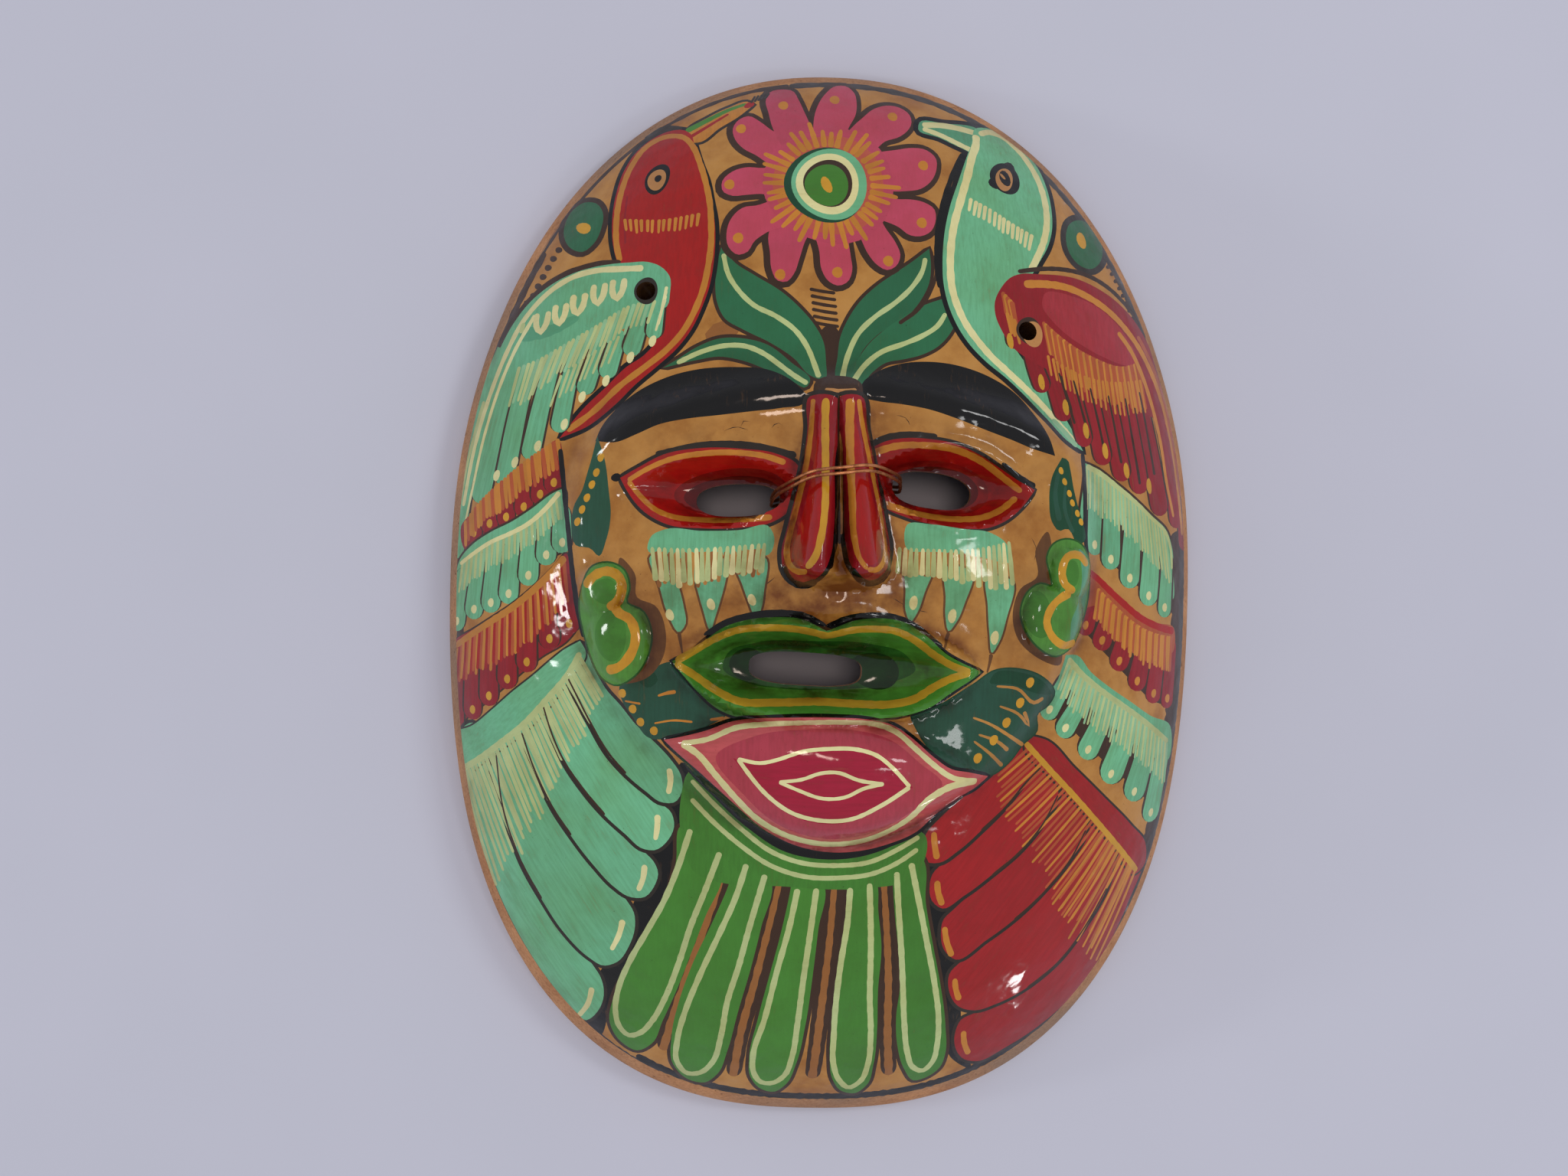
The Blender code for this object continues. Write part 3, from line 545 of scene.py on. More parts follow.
def paintLeftBird():
    lay(grown(outlineFrom(leftBird["body"]), 0.95), "black")
    line("softBlack", 2.2, "-34.5 105, -38.5 105.6, -43 103", (0.6, 1.0))
    lay(grown(outlineFrom(leftBird["beak"]), 0.7), "softBlack")
    fill("orange", leftBird["beak"])
    line("grass", 1.5, "-33.6 104, -29 106.6, -24 109.4, -20 111", (1.0, 0.5))
    line("red", 0.9, "-32.5 102.3, -28 105.4, -24 108.2", (1.0, 0.6))
    dot("red", -19.4, 110.6, 1.3, 0.8, 30.0)
    for i in range(5):
        line("softBlack", 0.55, f"{-19 + i * 0.8} {111.2 + i * 0.3}, {-18 + i * 0.8} {113.4 + i * 0.2}")
    fill("red", leftBird["body"])
    line("orange", 1.35, leftBird["trim"])
    line("crimson", 0.9, "-46.3 88, -46.6 82, -46.2 76", (0.5, 0.5))
    dot("black", -39.7, 91.6, 2.7, 4.0, -18.0)
    dot("skin", -39.8, 91.4, 2.05, 2.75, -14.0)
    dot("black", -39.5, 91.7, 0.8, 0.95, -20.0)
    strokesFrom("orange", "-47.2 82.2, -38 81.4, -29.5 82.6", 14, (3.4, 3.2, 3.6), (-80, -92, -96), 0.8)
    # the wing lies over the body: feathers, a first coat, its dark edge and the coat that shows
    for width, text in leftBird["feathers"]:
        feather("mint", width, text, 0.55)
    lay(counterClockwise(outlineFrom(leftBird["wing"])), "mint")
    line("umber", 1.9, "-47 71.7, -51 71.8, -56.5 71, -62.5 68.8, -67.6 65.2, -71.8 60.3, "
                       "-75.4 54.5", (0.6, 1.0))
    fill("mint", leftBird["wing"])
    line("mintDeep", 3.6, "-70 56.5, -63 56.8, -56 59.5", (1.0, 0.5))
    line("cream", 1.45, "-41.9 69.9, -47 70, -52 70.1, -57 69.3, -62 67, -66 63.8, -69.5 59.7, -73 53, "
                        "-76.5 44, -80 32, -82.6 18", (1.0, 0.6))
    line("cream", 1.0, "-66.5 61, -70.5 54, -74.3 45, -77.6 34, -80.6 20, -82.6 11", (1.0, 0.5))
    line("comb", 0.9, "-78.3 42, -81.7 29, -84 15", (1.0, 0.5))
    # five cups and a fading sixth
    for x, y, size in leftBird["cups"]:
        line("cream", 1.45, f"{x - 1.3 * size} {y + 1.8}, {x - 1.4 * size} {y - 1.2}, "
                            f"{x - 0.5 * size} {y - 2.8}, {x + 0.7 * size} {y - 1.2}, "
                            f"{x + 1.2 * size} {y + 2}")
    line("comb", 1.1, "-69.2 59.5, -69.8 57")
    strokesFrom(("comb", "mintPale", "comb"), "-38.5 62.5, -44.5 61.5, -51 57.8, -58 54, -65 50.5, "
                                              "-70 49", 30,
                (5.5, 7.5, 8.5, 9.0, 10.0), (-105, -108, -111, -109, -104), 0.85)
    strokesFrom("comb", "-46 55, -53 51, -60 46", 9, (6.0, 7.5), (-110, -108), 0.7)
    dots("cream", leftBird["tips"], 0.8, 1.3, -15.0)
    strokesFrom("cream", "-36.6 66, -37 62", 4, (6.0, 7.0), (-100, -104), 0.7)
    # painted shade: a dark ring round the poked hole, darkening the clay as the hole's shadowed inside would
    dot("softBlack", -41.2, 64.6, 2.6, 3.1)


# the right bird is mint with a red wing
rightBird = dict(
    body="32.8 107.4, 36.5 108.2, 40.5 107.2, 44 104.3, 47.3 100, 49.2 94, 49.7 88, 49.3 83, 47.8 78.3, "
         "45.5 74.4, 43 70.5, 37 66, 35.5 60, 38.2 54.4, 42 49.5, 46.5 44.4, 50.5 38.6, 54.5 32 *, 50 34, "
         "45.4 38.6, 41 43, 36.5 46.9, 32 50.2, 28.6 53.5, 25.8 57.6, 23.8 62.4, 22.9 67, 22.8 72.5, "
         "23.3 78, 24.8 85, 27.4 92.5, 29.6 98.5, 31.2 102.5",
    trim="43.1 71.8, 44.8 75, 46.7 79, 47.9 83.2, 48.3 88, 47.8 93, 46.4 97.6, 44.3 101.6, 41.8 104.6, "
         "39.2 106.5, 36 107, 33.4 105.7",
    edge="32.6 105.4, 32.3 102.6, 31 99, 29.6 94, 27.6 87.6, 25.6 80.6, 24.7 75, 24.5 70, 24.8 66, "
         "25.8 62.3, 27.6 58.4, 30 55, 33 51.6, 37 48.2, 41 44.8, 45.4 40.8, 49.5 36.6, 52.8 33.3",
    beak="19.2 107, 25 107.5, 33.5 106.8, 33 103, 32 100, 28 101.2, 23.4 103.2, 18.8 104.8",
    wing="40.8 70.9, 45 71.3, 50 71.7, 55 71.5, 60 70.2, 65 68, 70 64.5, 73.6 60.3, 77 54, 79.8 46.5, "
         "78 42, 66 44, 54 47, 44 50.5, 38 54, 35.7 57.5, 34.4 60.8, 34.3 63.6, 35.8 67, 38.3 69.8",
    feathers=(
        (4.6, "76.5 58, 80.6 42, 83.2 25, 84 11.5"), (4.6, "72.5 57, 77 40, 79.6 26, 80.9 16.5"),
        (5.4, "68 54, 71.6 38, 74.6 24, 75.8 19"), (5.2, "64 53, 67 38, 69.6 23.5"), (4.8, "59.5 53, 62 40, "
                                                                                           "64.8 26"),
        (4.6, "55.3 54, 57.3 41, 60 29.3"), (4.2, "50.3 55, 52.3 45, 55.2 33"), (4.2, "45.5 57, 47.8 46.5, "
                                                                                      "50.3 38.3"),
        (4.0, "41 60, 43.3 50, 45.4 44.3"), (3.2, "37.4 62, 38.6 53.5"),
    ),
    tips="37.6 55.2, 44.7 46.6, 50.4 41.4, 55.3 36.6, 60.2 32.5, 65.7 28.5, 72.1 25.5",
)


def paintRightBird():
    lay(grown(outlineFrom(rightBird["body"]), 1.1), "black")
    lay(grown(outlineFrom(rightBird["beak"]), 1.2), "black")
    line("black", 1.9, "28.8 99.6, 26.2 94, 23.6 86.6, 22 79, 21.7 72, 22.2 66", (0.6, 0.8))
    fill("mintDeep", rightBird["beak"])
    line("cream", 1.6, "19.8 106.3, 24.5 106.8, 29 106.5, 33 105.8")
    line("cream", 1.3, "19.8 105.3, 24 103.9, 28.5 101.8, 31.8 100.4")
    fill("mint", rightBird["body"])
    line("cream", 1.6, rightBird["trim"])
    line("cream", 1.7, rightBird["edge"], (1.1, 0.8))
    line("mintPale", 2.2, "47 38.5, 50.4 35.2, 52.8 32.8", (0.6, 0.6))
    dot("black", 38.5, 94.3, 3.7, 4.1, 5.0)
    dot("black", 39.8, 97.0, 1.6, 2.0)
    dot("black", 36.0, 92.6, 1.7, 1.5)
    dot("skin", 38.3, 94.0, 2.1, 3.1, -14.0)
    dot("black", 38.5, 94.3, 1.35, 2.1, 12.0)
    dot("skin", 38.0, 94.7, 0.35, 0.9, 40.0)
    strokesFrom("cream", "29.4 88.3, 34.5 85.9, 40 82.7, "
                         "44.6 80.6", 14, (3.6, 3.7, 3.9, 4.0), (-103, -98, -98, -104), 0.95)
    for width, text in rightBird["feathers"]:
        feather("crimson", width, text, 0.5)
    line("umber", 1.3, "40 71.3, 46 72.7, 52 73.3, 58 72.8, 63 71, 68 67.7, 72 63.9, 75.3 59.8", (0.8, 1.0))
    fill("crimson", rightBird["wing"])
    # the wing's paler red panel: a lighter patch that is partly painted sheen
    fill("redPale", "46 66.5, 54 67, 61 64.8, 66 61, 69.5 56.5, 70.3 53, 66 52.6, 61 53.6, 56 55.4, 51 58, "
                    "47.5 61, 45.5 64")
    strokesFrom(("rust", "orange", "rust"), "45.4 60.5, 51 56.4, 58 53.4, 65 52.2, "
                                            "70.5 54", 46, (7.0, 9.0, 9.5, 9.0, 11.0),
                (-80, -82, -84, -84, -80), 0.85)
    strokesFrom("orange", "46 53, 55 49, 64 48.5, 71 50", 22, (5.0, 6.5, 8.0), (-80, -84, -80), 0.7)
    strokesFrom(("rust", "orange"), "36 66.5, 38.5 64", 5, (5.5, 6.5), (-82, -80), 1.1)
    strokesFrom("orange", "36.6 62, 39 60", 3, (5.0, 5.5), (-80, -78), 0.9)
    line("orange", 1.7, "41.3 68.5, 46 69.1, 52 69, 57 67.7, 62 65.4, 67 61.8, 70.7 58, 74 53, 77 46.5, "
                        "79.4 38, 81.4 27, 83 15", (1.1, 0.5))
    line("orange", 1.25, "65 60.3, 68 57, 71 51.8, 73.6 45, 75.8 37, 77.6 27, 79.8 19", (1.0, 0.6))
    line("rust", 1.2, "71 60.5, 74.5 55, 77.5 48, 80 38, 82.4 24", (1.0, 0.5))
    strokesFrom("umber", "46.5 50, 56 46.5, 66 45, "
                         "72 48", 6, (11.0, 14.0, 18.0, 22.0), (-70, -76, -79, -80), 0.75,
                (0.6, 1.0))
    dots("yellow", rightBird["tips"], 0.75, 1.8, 8.0)
    # painted shade round the poked hole: a dark ring, with a crescent of bare clay on its lower right
    dot("umber", 42.0, 57.9, 2.9, 3.1)
    dot("skin", 42.9, 57.2, 2.4, 2.9)


# an oval behind each bird, and rows of dots along the rim
def paintSideOvals():
    fill("leaf", "-56.5 87.8, -53.5 87, -51.7 84, -51.9 80.5, -53.3 77, -56 75, -58.8 76.2, -60.6 79, "
                 "-60.8 83, -59.2 86.3",
         1.3, "umber")
    dot("yellow", -56.2, 81.0, 1.9, 1.35, -28.0)
    fill("leaf", "58 87.2, 61 86.2, 62.8 83.5, 63 80, 61.5 76.7, 58.5 74.6, 55.5 75.2, 53.3 77.8, "
                 "52.8 81.5, 54 85",
         1.5, "softBlack")
    dot("yellow", 57.0, 81.6, 1.3, 2.1, 6.0)
    rimDots(6.2, 138.5, 145.0, 6, 0.75, 0.95)
    rimDots(5.4, 146.2, 156.5, 9, 0.55, 0.9)
    rimDots(4.1, 28.5, 40.5, 13, 0.5, 0.95)


# the side bands: rows of feathers under a line and a comb of fine strokes, a touch of paint near each tip
def featherRow(paint, width, roots, tips, tipPaint, edge):
    roots, tips = readPairs(roots)[0], readPairs(tips)[0]
    widths = width if isinstance(width, tuple) else (width,) * len(tips)
    for wide, (x, y), (tipX, tipY) in zip(widths, roots, tips):
        feather(paint, wide, f"{x} {y}, {(x + tipX) / 2} {(y + tipY) / 2}, {tipX} {tipY}", edge)
    for root, tip in zip(roots, tips):
        way = (root - tip) / np.hypot(*(root - tip))
        spot = tip + way * 2.3
        dot(tipPaint, spot[0], spot[1], 0.75, 1.0, math.degrees(math.atan2(way[1], way[0])) - 90)


def paintSideBands():
    # left, from the wing down: orange and red
    fill("crimson", "-83 13.5, -80 16.5, -73 22, -66 27, -59.2 31.8, -58.3 28, -58 21.2, -64 18.5, "
                    "-71 14.5, -78 10.5, -81.5 8")
    featherRow("crimson", 4.7, "-79.5 15, -75.4 17, -71.3 19.4, -67 22, -63.3 24.5, -60.2 27",
               "-79.4 9.6, -75.4 11.6, -71.3 13, -67.2 15.2, -63.4 17.9, -60.3 20.4", "yellow", 0.4)
    strokesFrom(("orange", "rust", "orange"), "-82 14.5, -78 19, -72 24, -66 28.5, "
                                              "-59.4 32.5", 30, (5.5, 6.5, 7.0),
                (-88, -84, -80), 1.1)
    # left mint band
    fill("mint", "-84.3 2.5, -83 6, -80 9, -75 12, -70 14.2, -65 17.2, -60 20.6, -58.2 21.3, -57.3 15, "
                 "-56.6 9, -62 6, -66 3, -72 -0.5, -79 -5, -84.6 -6", 0.5)
    featherRow("mint", 4.9, "-82 4, -77.7 6, -73.6 8.5, -69.4 10.5, -65.2 13, -61.5 15.5, -58.2 18",
               "-84 -10.5, -79.2 -7.6, -74.8 -6, -70.4 -3.9, -65.7 0.2, -61.6 4.7, -57.9 7.4", "cream", 0.45)
    strokesFrom(("comb", "mintPale"), "-82.5 5.2, -75 9.7, -70 11.7, -66 13.7, -62 17, -58.9 20.3", 38,
                (7.5, 6.0, 5.5, 5.0, 5.2), (-98, -94, -90, -86, -80), 0.75)
    line("cream", 1.1, "-83 4.8, -80 6.8, -75 9.7, -70 11.7, -66 13.7, -62 17, -58.8 20.6", (0.8, 1.0))
    # left orange and red band
    fill("crimson", "-84.8 -13, -79 -9.8, -74 -6.8, -70 -4.3, -66 -1.3, -62 2.2, -59 5.2, -57 7.4, -55.8 4, "
                    "-54.8 -2, -54 -8, -56 -11, -62 -15, -70 -21.5, -78 -28, -85 -33", 0.4)
    featherRow("crimson", 4.9, "-83 -16, -79 -13, -75 -10, -70.3 -7, -65.7 -3, -61 1, -57 3",
               "-83.9 -33.6, -79 -30.3, -74.7 -26.8, -70.2 -22.7, -65.6 -18.7, -60.3 -13.4, "
               "-55.8 -10", "yellow", 0.5)
    strokesFrom(("rust", "orange", "red"), "-84 -15, -79 -11.2, -74 -8, -70 -5.4, -66 -2.4, -62 1.2, "
                                           "-57.2 6", 46,
                (8.5, 10.0, 10.5, 9.0), (-96, -92, -88, -82), 0.95)
    line("orange", 1.5, "-84.4 -14.2, -79 -10.7, -74 -7.6, -70 -5.1, -66 -2.1, -62 1.5, -59 4.5, "
                        "-57.2 6.6", (0.9, 1.1))
    # right mint band
    fill("mint", "54.6 29.5 *, 58 28.4, 63 25.4, 68 22.3, 73 18.8, 77.6 15.6, 79.3 12, 79.9 6, 79.7 0, "
                 "76 0, 70 3, 64 7, 58 11, 54.8 13", 0.6)
    featherRow("mint", (4.6, 5.0, 5.4, 5.6, 4.2), "57.3 24, 61.9 22, 67.6 19, 73.2 15, 77.9 11",
               "57.2 9.4, 61.6 6.4, 66.6 2.4, 72 -1.4, 77 -4", "cream", 0.6)
    strokesFrom(("comb", "mintPale"), "55 29, 58 28, 63 25, 68 21.9, 73 18.4, "
                                      "77.3 15.4", 46, (9.5, 9.0, 10.0, 12.0),
                (-93, -88, -84, -80), 0.62)
    line("comb", 1.3, "55.2 28.8, 58.2 27.7, 63.2 24.7, 68.2 21.6, 73 18.2, 77.3 15.2, 78.8 11.8, "
                      "79.3 7", (1.0, 0.5))
    # right orange and red band
    fill("umber", "55.4 2, 62 -2, 70 -6, 80 -9, 80 -24, 74 -22.6, 69 -19, 63 -14, 58 -9.6, 55 -6.6")
    featherRow("crimson", (4.8, 5.2, 5.4, 5.4, 5.0, 4.0), "57.6 2, 62.6 -2, 67.4 -5, 72.2 -7, 76.6 -8, "
                                                          "79.9 -9",
               "54.9 -8, 59 -11.2, 63.7 -15.8, 69 -20.4, 74.2 -23.4, 78.9 -24.8", "orange", 0.5)
    fill("rust", "54.8 6.8, 58 5.2, 61 2.8, 65 -0.2, 70 -3.4, 75 -5.2, 80.3 -6.3, 80.3 -12, 75 -11, "
                 "70 -9.5, 64 -6, 58 -1.5, 55.2 -2")
    strokesFrom(("orange", "rust", "orange"), "58.5 2.5, 62 -0.5, 66 -3.6, 71 -6.4, 75.5 -7.7, "
                                              "80 -8.3", 38, (6.5, 7.5, 8.0),
                (-98, -94, -90), 0.95)
    line("red", 1.5, "54.9 6.2, 58 4.6, 61 2.2, 65 -0.8, 70 -4.1, 75 -6, 80.4 -7.2", (0.9, 1.1))
    # lower right mint band
    fill("umber", "50 -16, 58 -22, 68 -30, 79 -38, 77 -47, 70 -42, 63 -37, 57 -32, 50 -26, 47 -24")
    featherRow("mint", (4.6, 4.8, 5.6, 6.6, 6.6, 5.6), "52.2 -16, 56.4 -20, 61.8 -24, 68 -28, 74 -31, "
                                                       "78.6 -34",
               "46.3 -26, 50.2 -30, 56.2 -35, 62.6 -40.8, 69.6 -45.4, 75.6 -51", "cream", 0.7)
    fill("mint", "50.6 -12.2 *, 53.6 -12.3, 57 -15.8, 62 -19.3, 68 -22.8, 74 -26.2, 80.4 -28.8, 80.4 -37, "
                 "76 -36, 68 -31, 60 -26, 54 -21, 50 -19, 48.8 -20.5")
    strokesFrom(("comb", "mintPale"), "51.4 -13.4, 55 -16.9, 60 -20.5, 66 -24.1, 72 -27.7, "
                                      "80 -33", 52, (7.0, 8.0, 8.5, 9.5),
                (-112, -104, -97, -90), 0.68)
    line("comb", 1.35, "51.4 -13, 55 -16.5, 60 -20.1, 66 -23.7, 72 -27.3, 80 -32.6", (1.0, 0.9))


# the fans: big feathers either side of the chin
fans = dict(
    left=(
        "-74 -36, -69 -55, -62 -68, -55 -78, -50 -84, -48.5 -86.5, -47.8 -90.5, -49.3 -95.5, -52.3 -98.8, "
        "-55.5 -99.2, -60 -95.5, -66 -88.5, -72 -80, -77 -70, -80.5 -58, -83 -45, -84.2 -36, -79 -31",
        "-66.5 -33, -60 -46, -54 -55, -48 -62, -42.5 -67.5, -41 -70, -40.7 -73, -42 -78, -44.8 -82.3, "
        "-48 -83.5, -51 -82, -57 -76.5, -62 -69.5, -67 -61, -71 -50, -74 -40, -72 -33",
        "-62 -25, -57 -36, -52 -43, -46 -50, -39 -56, -36.7 -58.3, -35.8 -60.5, -36.5 -63.5, -38.7 -66.3, "
        "-42 -66.5, -45.5 -64.5, -50 -60, -55 -54, -59 -48.5, -63 -41, -66.5 -33, -66 -27",
        "-55.5 -19, -52 -24, -46 -33, -40 -40, -35.5 -45.3, -33.3 -47, -32.5 -50, -33.8 -53.3, -36.5 -55.6, "
        "-39 -55.5, -43 -52.5, -47.5 -48.8, -52 -44, -56.5 -38, -59.5 -32, -62 -25, -60 -20",
        "-53.5 -11.8, -50 -17.5, -47.5 -21.5, -44.5 -24.5, -41 -28.5, -37 -32, -33.5 -35.5, -31.2 -39, "
        "-31 -42.5, -32.3 -44.8, -35.5 -45, -38.5 -43, -43 -39.5, -46.5 -36, -51 -29, -55.5 -21, -57 -16",
    ),
    leftTop="-85 -34.5, -79 -31.6, -74 -27.6, -69 -23.2, -64 -19.2, -60 -15.7, -57 -13.3, -53.5 -11.3 *, "
            "-52.2 -13.4, -56 -20, -61 -27, -66 -32, -74 -38, -84 -45",
    leftTips=("-33.8 -37.6, -33.4 -40, -33.9 -43.2", "-36.1 -47.8, -36.1 -50.5, -36.5 -53.4", "-38.7 -59, "
                                                                                              "-39 -62, "
                                                                                              "-40.1 -65",
              "-43.4 -72, -44.2 -75.5, -46 -79.5", "-50.5 -89.5, -51.6 -94, -54 -98"),
    leftFolds=("-56.6 -18.5, -55.2 -21, -51 -28.6, -46.5 -35.6, -43 -39.3",
               "-61.9 -25, -59.6 -31.6, -56.6 -37.6, -52 -43.7, -47.5 -48.6",
               "-66.6 -32, -63.1 -40.8, -59.1 -48.2, -55 -53.8",
               "-72.8 -37.6, -71.1 -49.6, -67 -60.8, -62 -69.4"),
    right=(
        "66 -60, 60 -75, 52 -84, 44 -90, 35 -93, 32 -94.5, 31 -97.5, 31.5 -102, 34 -105.5, 37.5 -106.6, "
        "44 -103.5, 52 -98.5, 60 -91.5, 67 -81.5, 72 -70, 75 -60, 73.5 -61",
        "58 -50, 52 -61, 44 -69, 36 -75.5, 30.5 -80, 28.3 -82.5, 28.3 -86.5, 31 -91, 35 -92.3, 40 -91, "
        "47 -87.5, 54 -82, 60 -74, 65 -65, 66 -56",
        "50.5 -42, 44 -52, 36 -60, 28 -67.5, 25.8 -70, 25.5 -73, 26.5 -77, 29 -79.3, 36 -75, 42 -70.5, "
        "48 -65, 54 -58, 58 -50.5, 57 -46",
        "47 -37, 40 -42, 33 -50, 25 -57, 22.8 -59.5, 22.3 -62.5, 23 -65.5, 25.3 -67.3, 30 -64.5, 36 -60, "
        "42 -55, 47 -49, 50.5 -42.5",
        "42 -30.5, 34 -39, 30 -41.5, 27 -44, 23.5 -47.5, 21 -50.5, 20.3 -53.5, 21.5 -56.8, 24 -57, "
        "28 -54.5, 33 -50, 38 -45, 42.5 -39.5, 46 -36",
    ),
    rightTop="41.6 -29.3 *, 47 -30.6, 54 -36.8, 62 -43.8, 70 -50.8, 75.4 -56.4, 75.6 -61.6, 73.5 -63, "
             "66 -56, 60 -50, 54 -44, 48 -38.4, 42 -32.4",
    rightTips=("22.6 -50.2, 22.9 -53, 23.6 -56.2", "23.9 -61, 24.2 -63.5, 25.4 -66.6", "26.2 -71.6, "
                                                                                       "26.9 -75, "
                                                                                       "28.4 -78.6",
               "29.5 -84, 29.9 -86.5, 31 -89.4", "32.9 -97.6, 33.5 -101, 35 -104.2"),
    rightFolds=("45.8 -36.6, 42.5 -39.9, 38 -45.3, 33 -50", "50.4 -42.8, 47.1 -49.1, 42.1 -55.1, 36 -60.2",
                "57.8 -51, 54 -58.2, 48.1 -65.2, 42 -70.6", "64.8 -65.2, 59.9 -74.2, 53.9 -82.2, 47 -87.6"),
)


def paintFans():
    # dark ground shows between the feathers and the beard
    fill("black", "-31 -36, -28 -44, -31 -58, -37 -74, -46 -92, -50 -103, -55 -100, -50 -88, -44 -76, "
                  "-38 -58, -34 -46")
    fill("black", "22 -46, 19.5 -51, 20.5 -60, 24 -74, 28 -92, 31 -105, 36 -108.6, 33 -100, 31 -88, 28 -74, "
                  "25 -60")
    for text in fans["left"]:
        fill("mint", text, 0.8, "softBlack", -55.0)
    fill("mint", fans["leftTop"], 0.4, "softBlack", 40.0)
    fill("mintPale", "-84 -44, -83 -56, -80 -66, -77.4 -66, -77 -58, -78.4 -48, -79.6 -42", grain=-80.0)
    line("comb", 2.6, "-82.6 -45, -81.8 -54, -79 -64", (1.0, 0.6))
    strokesFrom("comb", "-84.5 -44.5, -78 -40, -72 -35.4, -66 -30.4, -61 -24.9, -56 -18.9, -53.2 -14.2", 38,
                (27.0, 23.0, 17.5, 13.5, 11.0, 10.0), (-73, -67, -65, -63, -60, -57), 1.0)
    lines("umber", 0.9, fans["leftFolds"], (0.4, 0.6))
    line("comb", 1.45, "-84.4 -43.6, -78 -39.6, -72 -35, -66 -30, -61 -24.5, -56 -18.5, "
                       "-53.4 -13.8", (1.0, 0.9))
    lines("cream", 1.35, fans["leftTips"], (1.0, 0.8))
    for text in fans["right"]:
        fill("fanRed", text, 0.8, "softBlack", -125.0)
    fill("fanRed", fans["rightTop"], 0.5, "softBlack", -45.0)
    strokesFrom(("rust", "orange", "rust"), "42.3 -32, 48 -37.8, 54 -43.6, 60 -49.6, 66 -55.6, 72.4 -62", 36,
                (9.5, 13.5, 15.5, 18.5, 21.0), (-140, -138, -132, -124, -112), 0.72)
    strokesFrom("orange", "62 -51.6, 66 -55.4, 70 -59.4, "
                          "73.4 -62.8", 10, (18.0, 21.0, 23.0, 21.0), (-127, -122, -115, -109), 0.8)
    lines("umber", 0.9, fans["rightFolds"], (0.4, 0.6))
    line("yellow", 1.4, "42 -31, 48 -37, 54 -42.8, 60 -48.8, 66 -54.8, 73.4 -62.4", (0.9, 1.0))
    lines("orange", 1.4, fans["rightTips"], (0.9, 1.0))


# the beard: a collar with two pale arcs, and five fingers, each with a pale loop
beard = dict(
    collar="-29.5 -38, -31.3 -45, -31 -52, -28 -60, -20 -62.5, -10 -62.5, 0 -63, 10 -62.6, 17 -61, "
           "20.6 -57, 20.8 -51, 14 -49, 0 -55, -14 -52, -22 -44",
    fingers=(
        "-31 -50, -32 -58, -34 -67, -38 -75, -42.5 -84, -45.8 -92, -46.6 -98, -44.5 -102.7, -40.5 -105, "
        "-37 -102.5, -34.5 -96, -31.5 -88, -28.5 -79, -25.5 -70, -22 -60, -25 -52",
        "-19.5 -58, -20.5 -62, -23.5 -70, -28 -81, -31 -91, -32.5 -100, -32 -108, -28.5 -112, -25 -112.5, "
        "-22 -109.5, -20 -103, -18 -93, -15.5 -82, -13.5 -72, -11.8 -61, -15 -57",
        "-7 -59, -7.5 -63, -9 -72, -11.5 -84, -13.5 -94, -15 -104, -14.5 -110, -12 -113.5, -9 -114.3, "
        "-6.5 -112, -4.5 -106, -3 -96, -2 -84, -1.2 -72, -0.4 -62, -3 -58",
        "4.3 -59, 4.6 -64, 4.3 -72, 3.5 -82, 3 -92, 3 -104, 4 -110, 6.5 -113.8, 9.5 -114.5, 12 -112, "
        "13 -106, 13 -96, 12.5 -86, 12.6 -76, 11.5 -68, 10.6 -61, 8 -58",
        "13.6 -57, 14.2 -61, 15 -68, 16.5 -78, 17.3 -86, 17 -93, 18 -101, 20 -107, 23 -111, 26 -110, "
        "28.5 -107.5, 29.3 -103.5, 28.5 -96, 26.5 -86, 24 -76, 21.7 -66, 20.4 -56, 17 -53",
    ),
    loops=(
        "-29 -50.6, -31.5 -59, -34.5 -67, -38 -74, -42 -82, -44.5 -89, -45.2 -95, -44.3 -99, -42.3 -101, "
        "-39.5 -99.8, -37 -96.5, -34 -90, -31 -81, -28.5 -72, -26 -65, -22.7 -55.4",
        "-17 -57.8, -19 -65, -22.5 -74, -26.5 -84, -29.5 -93, -31.2 -101, -31.2 -107, -28.9 -110.1, "
        "-26 -109.6, -23.3 -106.4, -21.5 -99, -20.3 -90, -18 -81, -16 -72, -14 -64, -13 -60",
        "-6 -63, -7.5 -72, -9.5 -81, -12 -94, -14.2 -104, -13.9 -108.5, -12 -111.5, -9.5 -111.6, -7 -109.4, "
        "-5.5 -104, -4.7 -95, -4 -85, -3 -74, -2 -62.8",
        "5.2 -62.6, 5 -70, 4 -80, 3.5 -88, 3.5 -98, 4 -106, 5.6 -110.4, 8 -112.7, 10.4 -110.8, 11.7 -106, "
        "11.7 -98, 10.8 -88, 10.3 -76, 9.8 -68, 9.3 -61.6",
        "15 -59, 15.8 -67, 17 -77, 18 -86, 19 -95, 20.5 -103, 22 -106.8, 24.5 -108.2, 26.5 -105.8, "
        "27.1 -101, 26.7 -94, 25 -85, 22.5 -75, 20.5 -67, 18 -57",
    ),
    gaps=("-21.2 -57.5, -24.5 -69, -28 -80, -31.5 -92, -34.5 -104", "-9.8 -61, -11.5 -70, -14.5 -85, "
                                                                    "-17 -97, -18.5 -110",
          "1.8 -61.5, 1.3 -75, 0.4 -90, -0.6 -110", "12.3 -61, 13.5 -72, 14.7 -85, 15.4 -97, 16.8 -109"),
    arcs=("-29 -39.8, -24 -45, -18 -50.4, -12 -54.8, -5 -57.3, 2 -57.7, 9 -56.9, 15 -54, 19.5 -51.2",
          "-29 -44, -24 -49, -18 -54, -12 -57.9, -5 -60.2, 3 -60.4, 10 -59.4, 15 -57, 19.3 -53.9"),
)


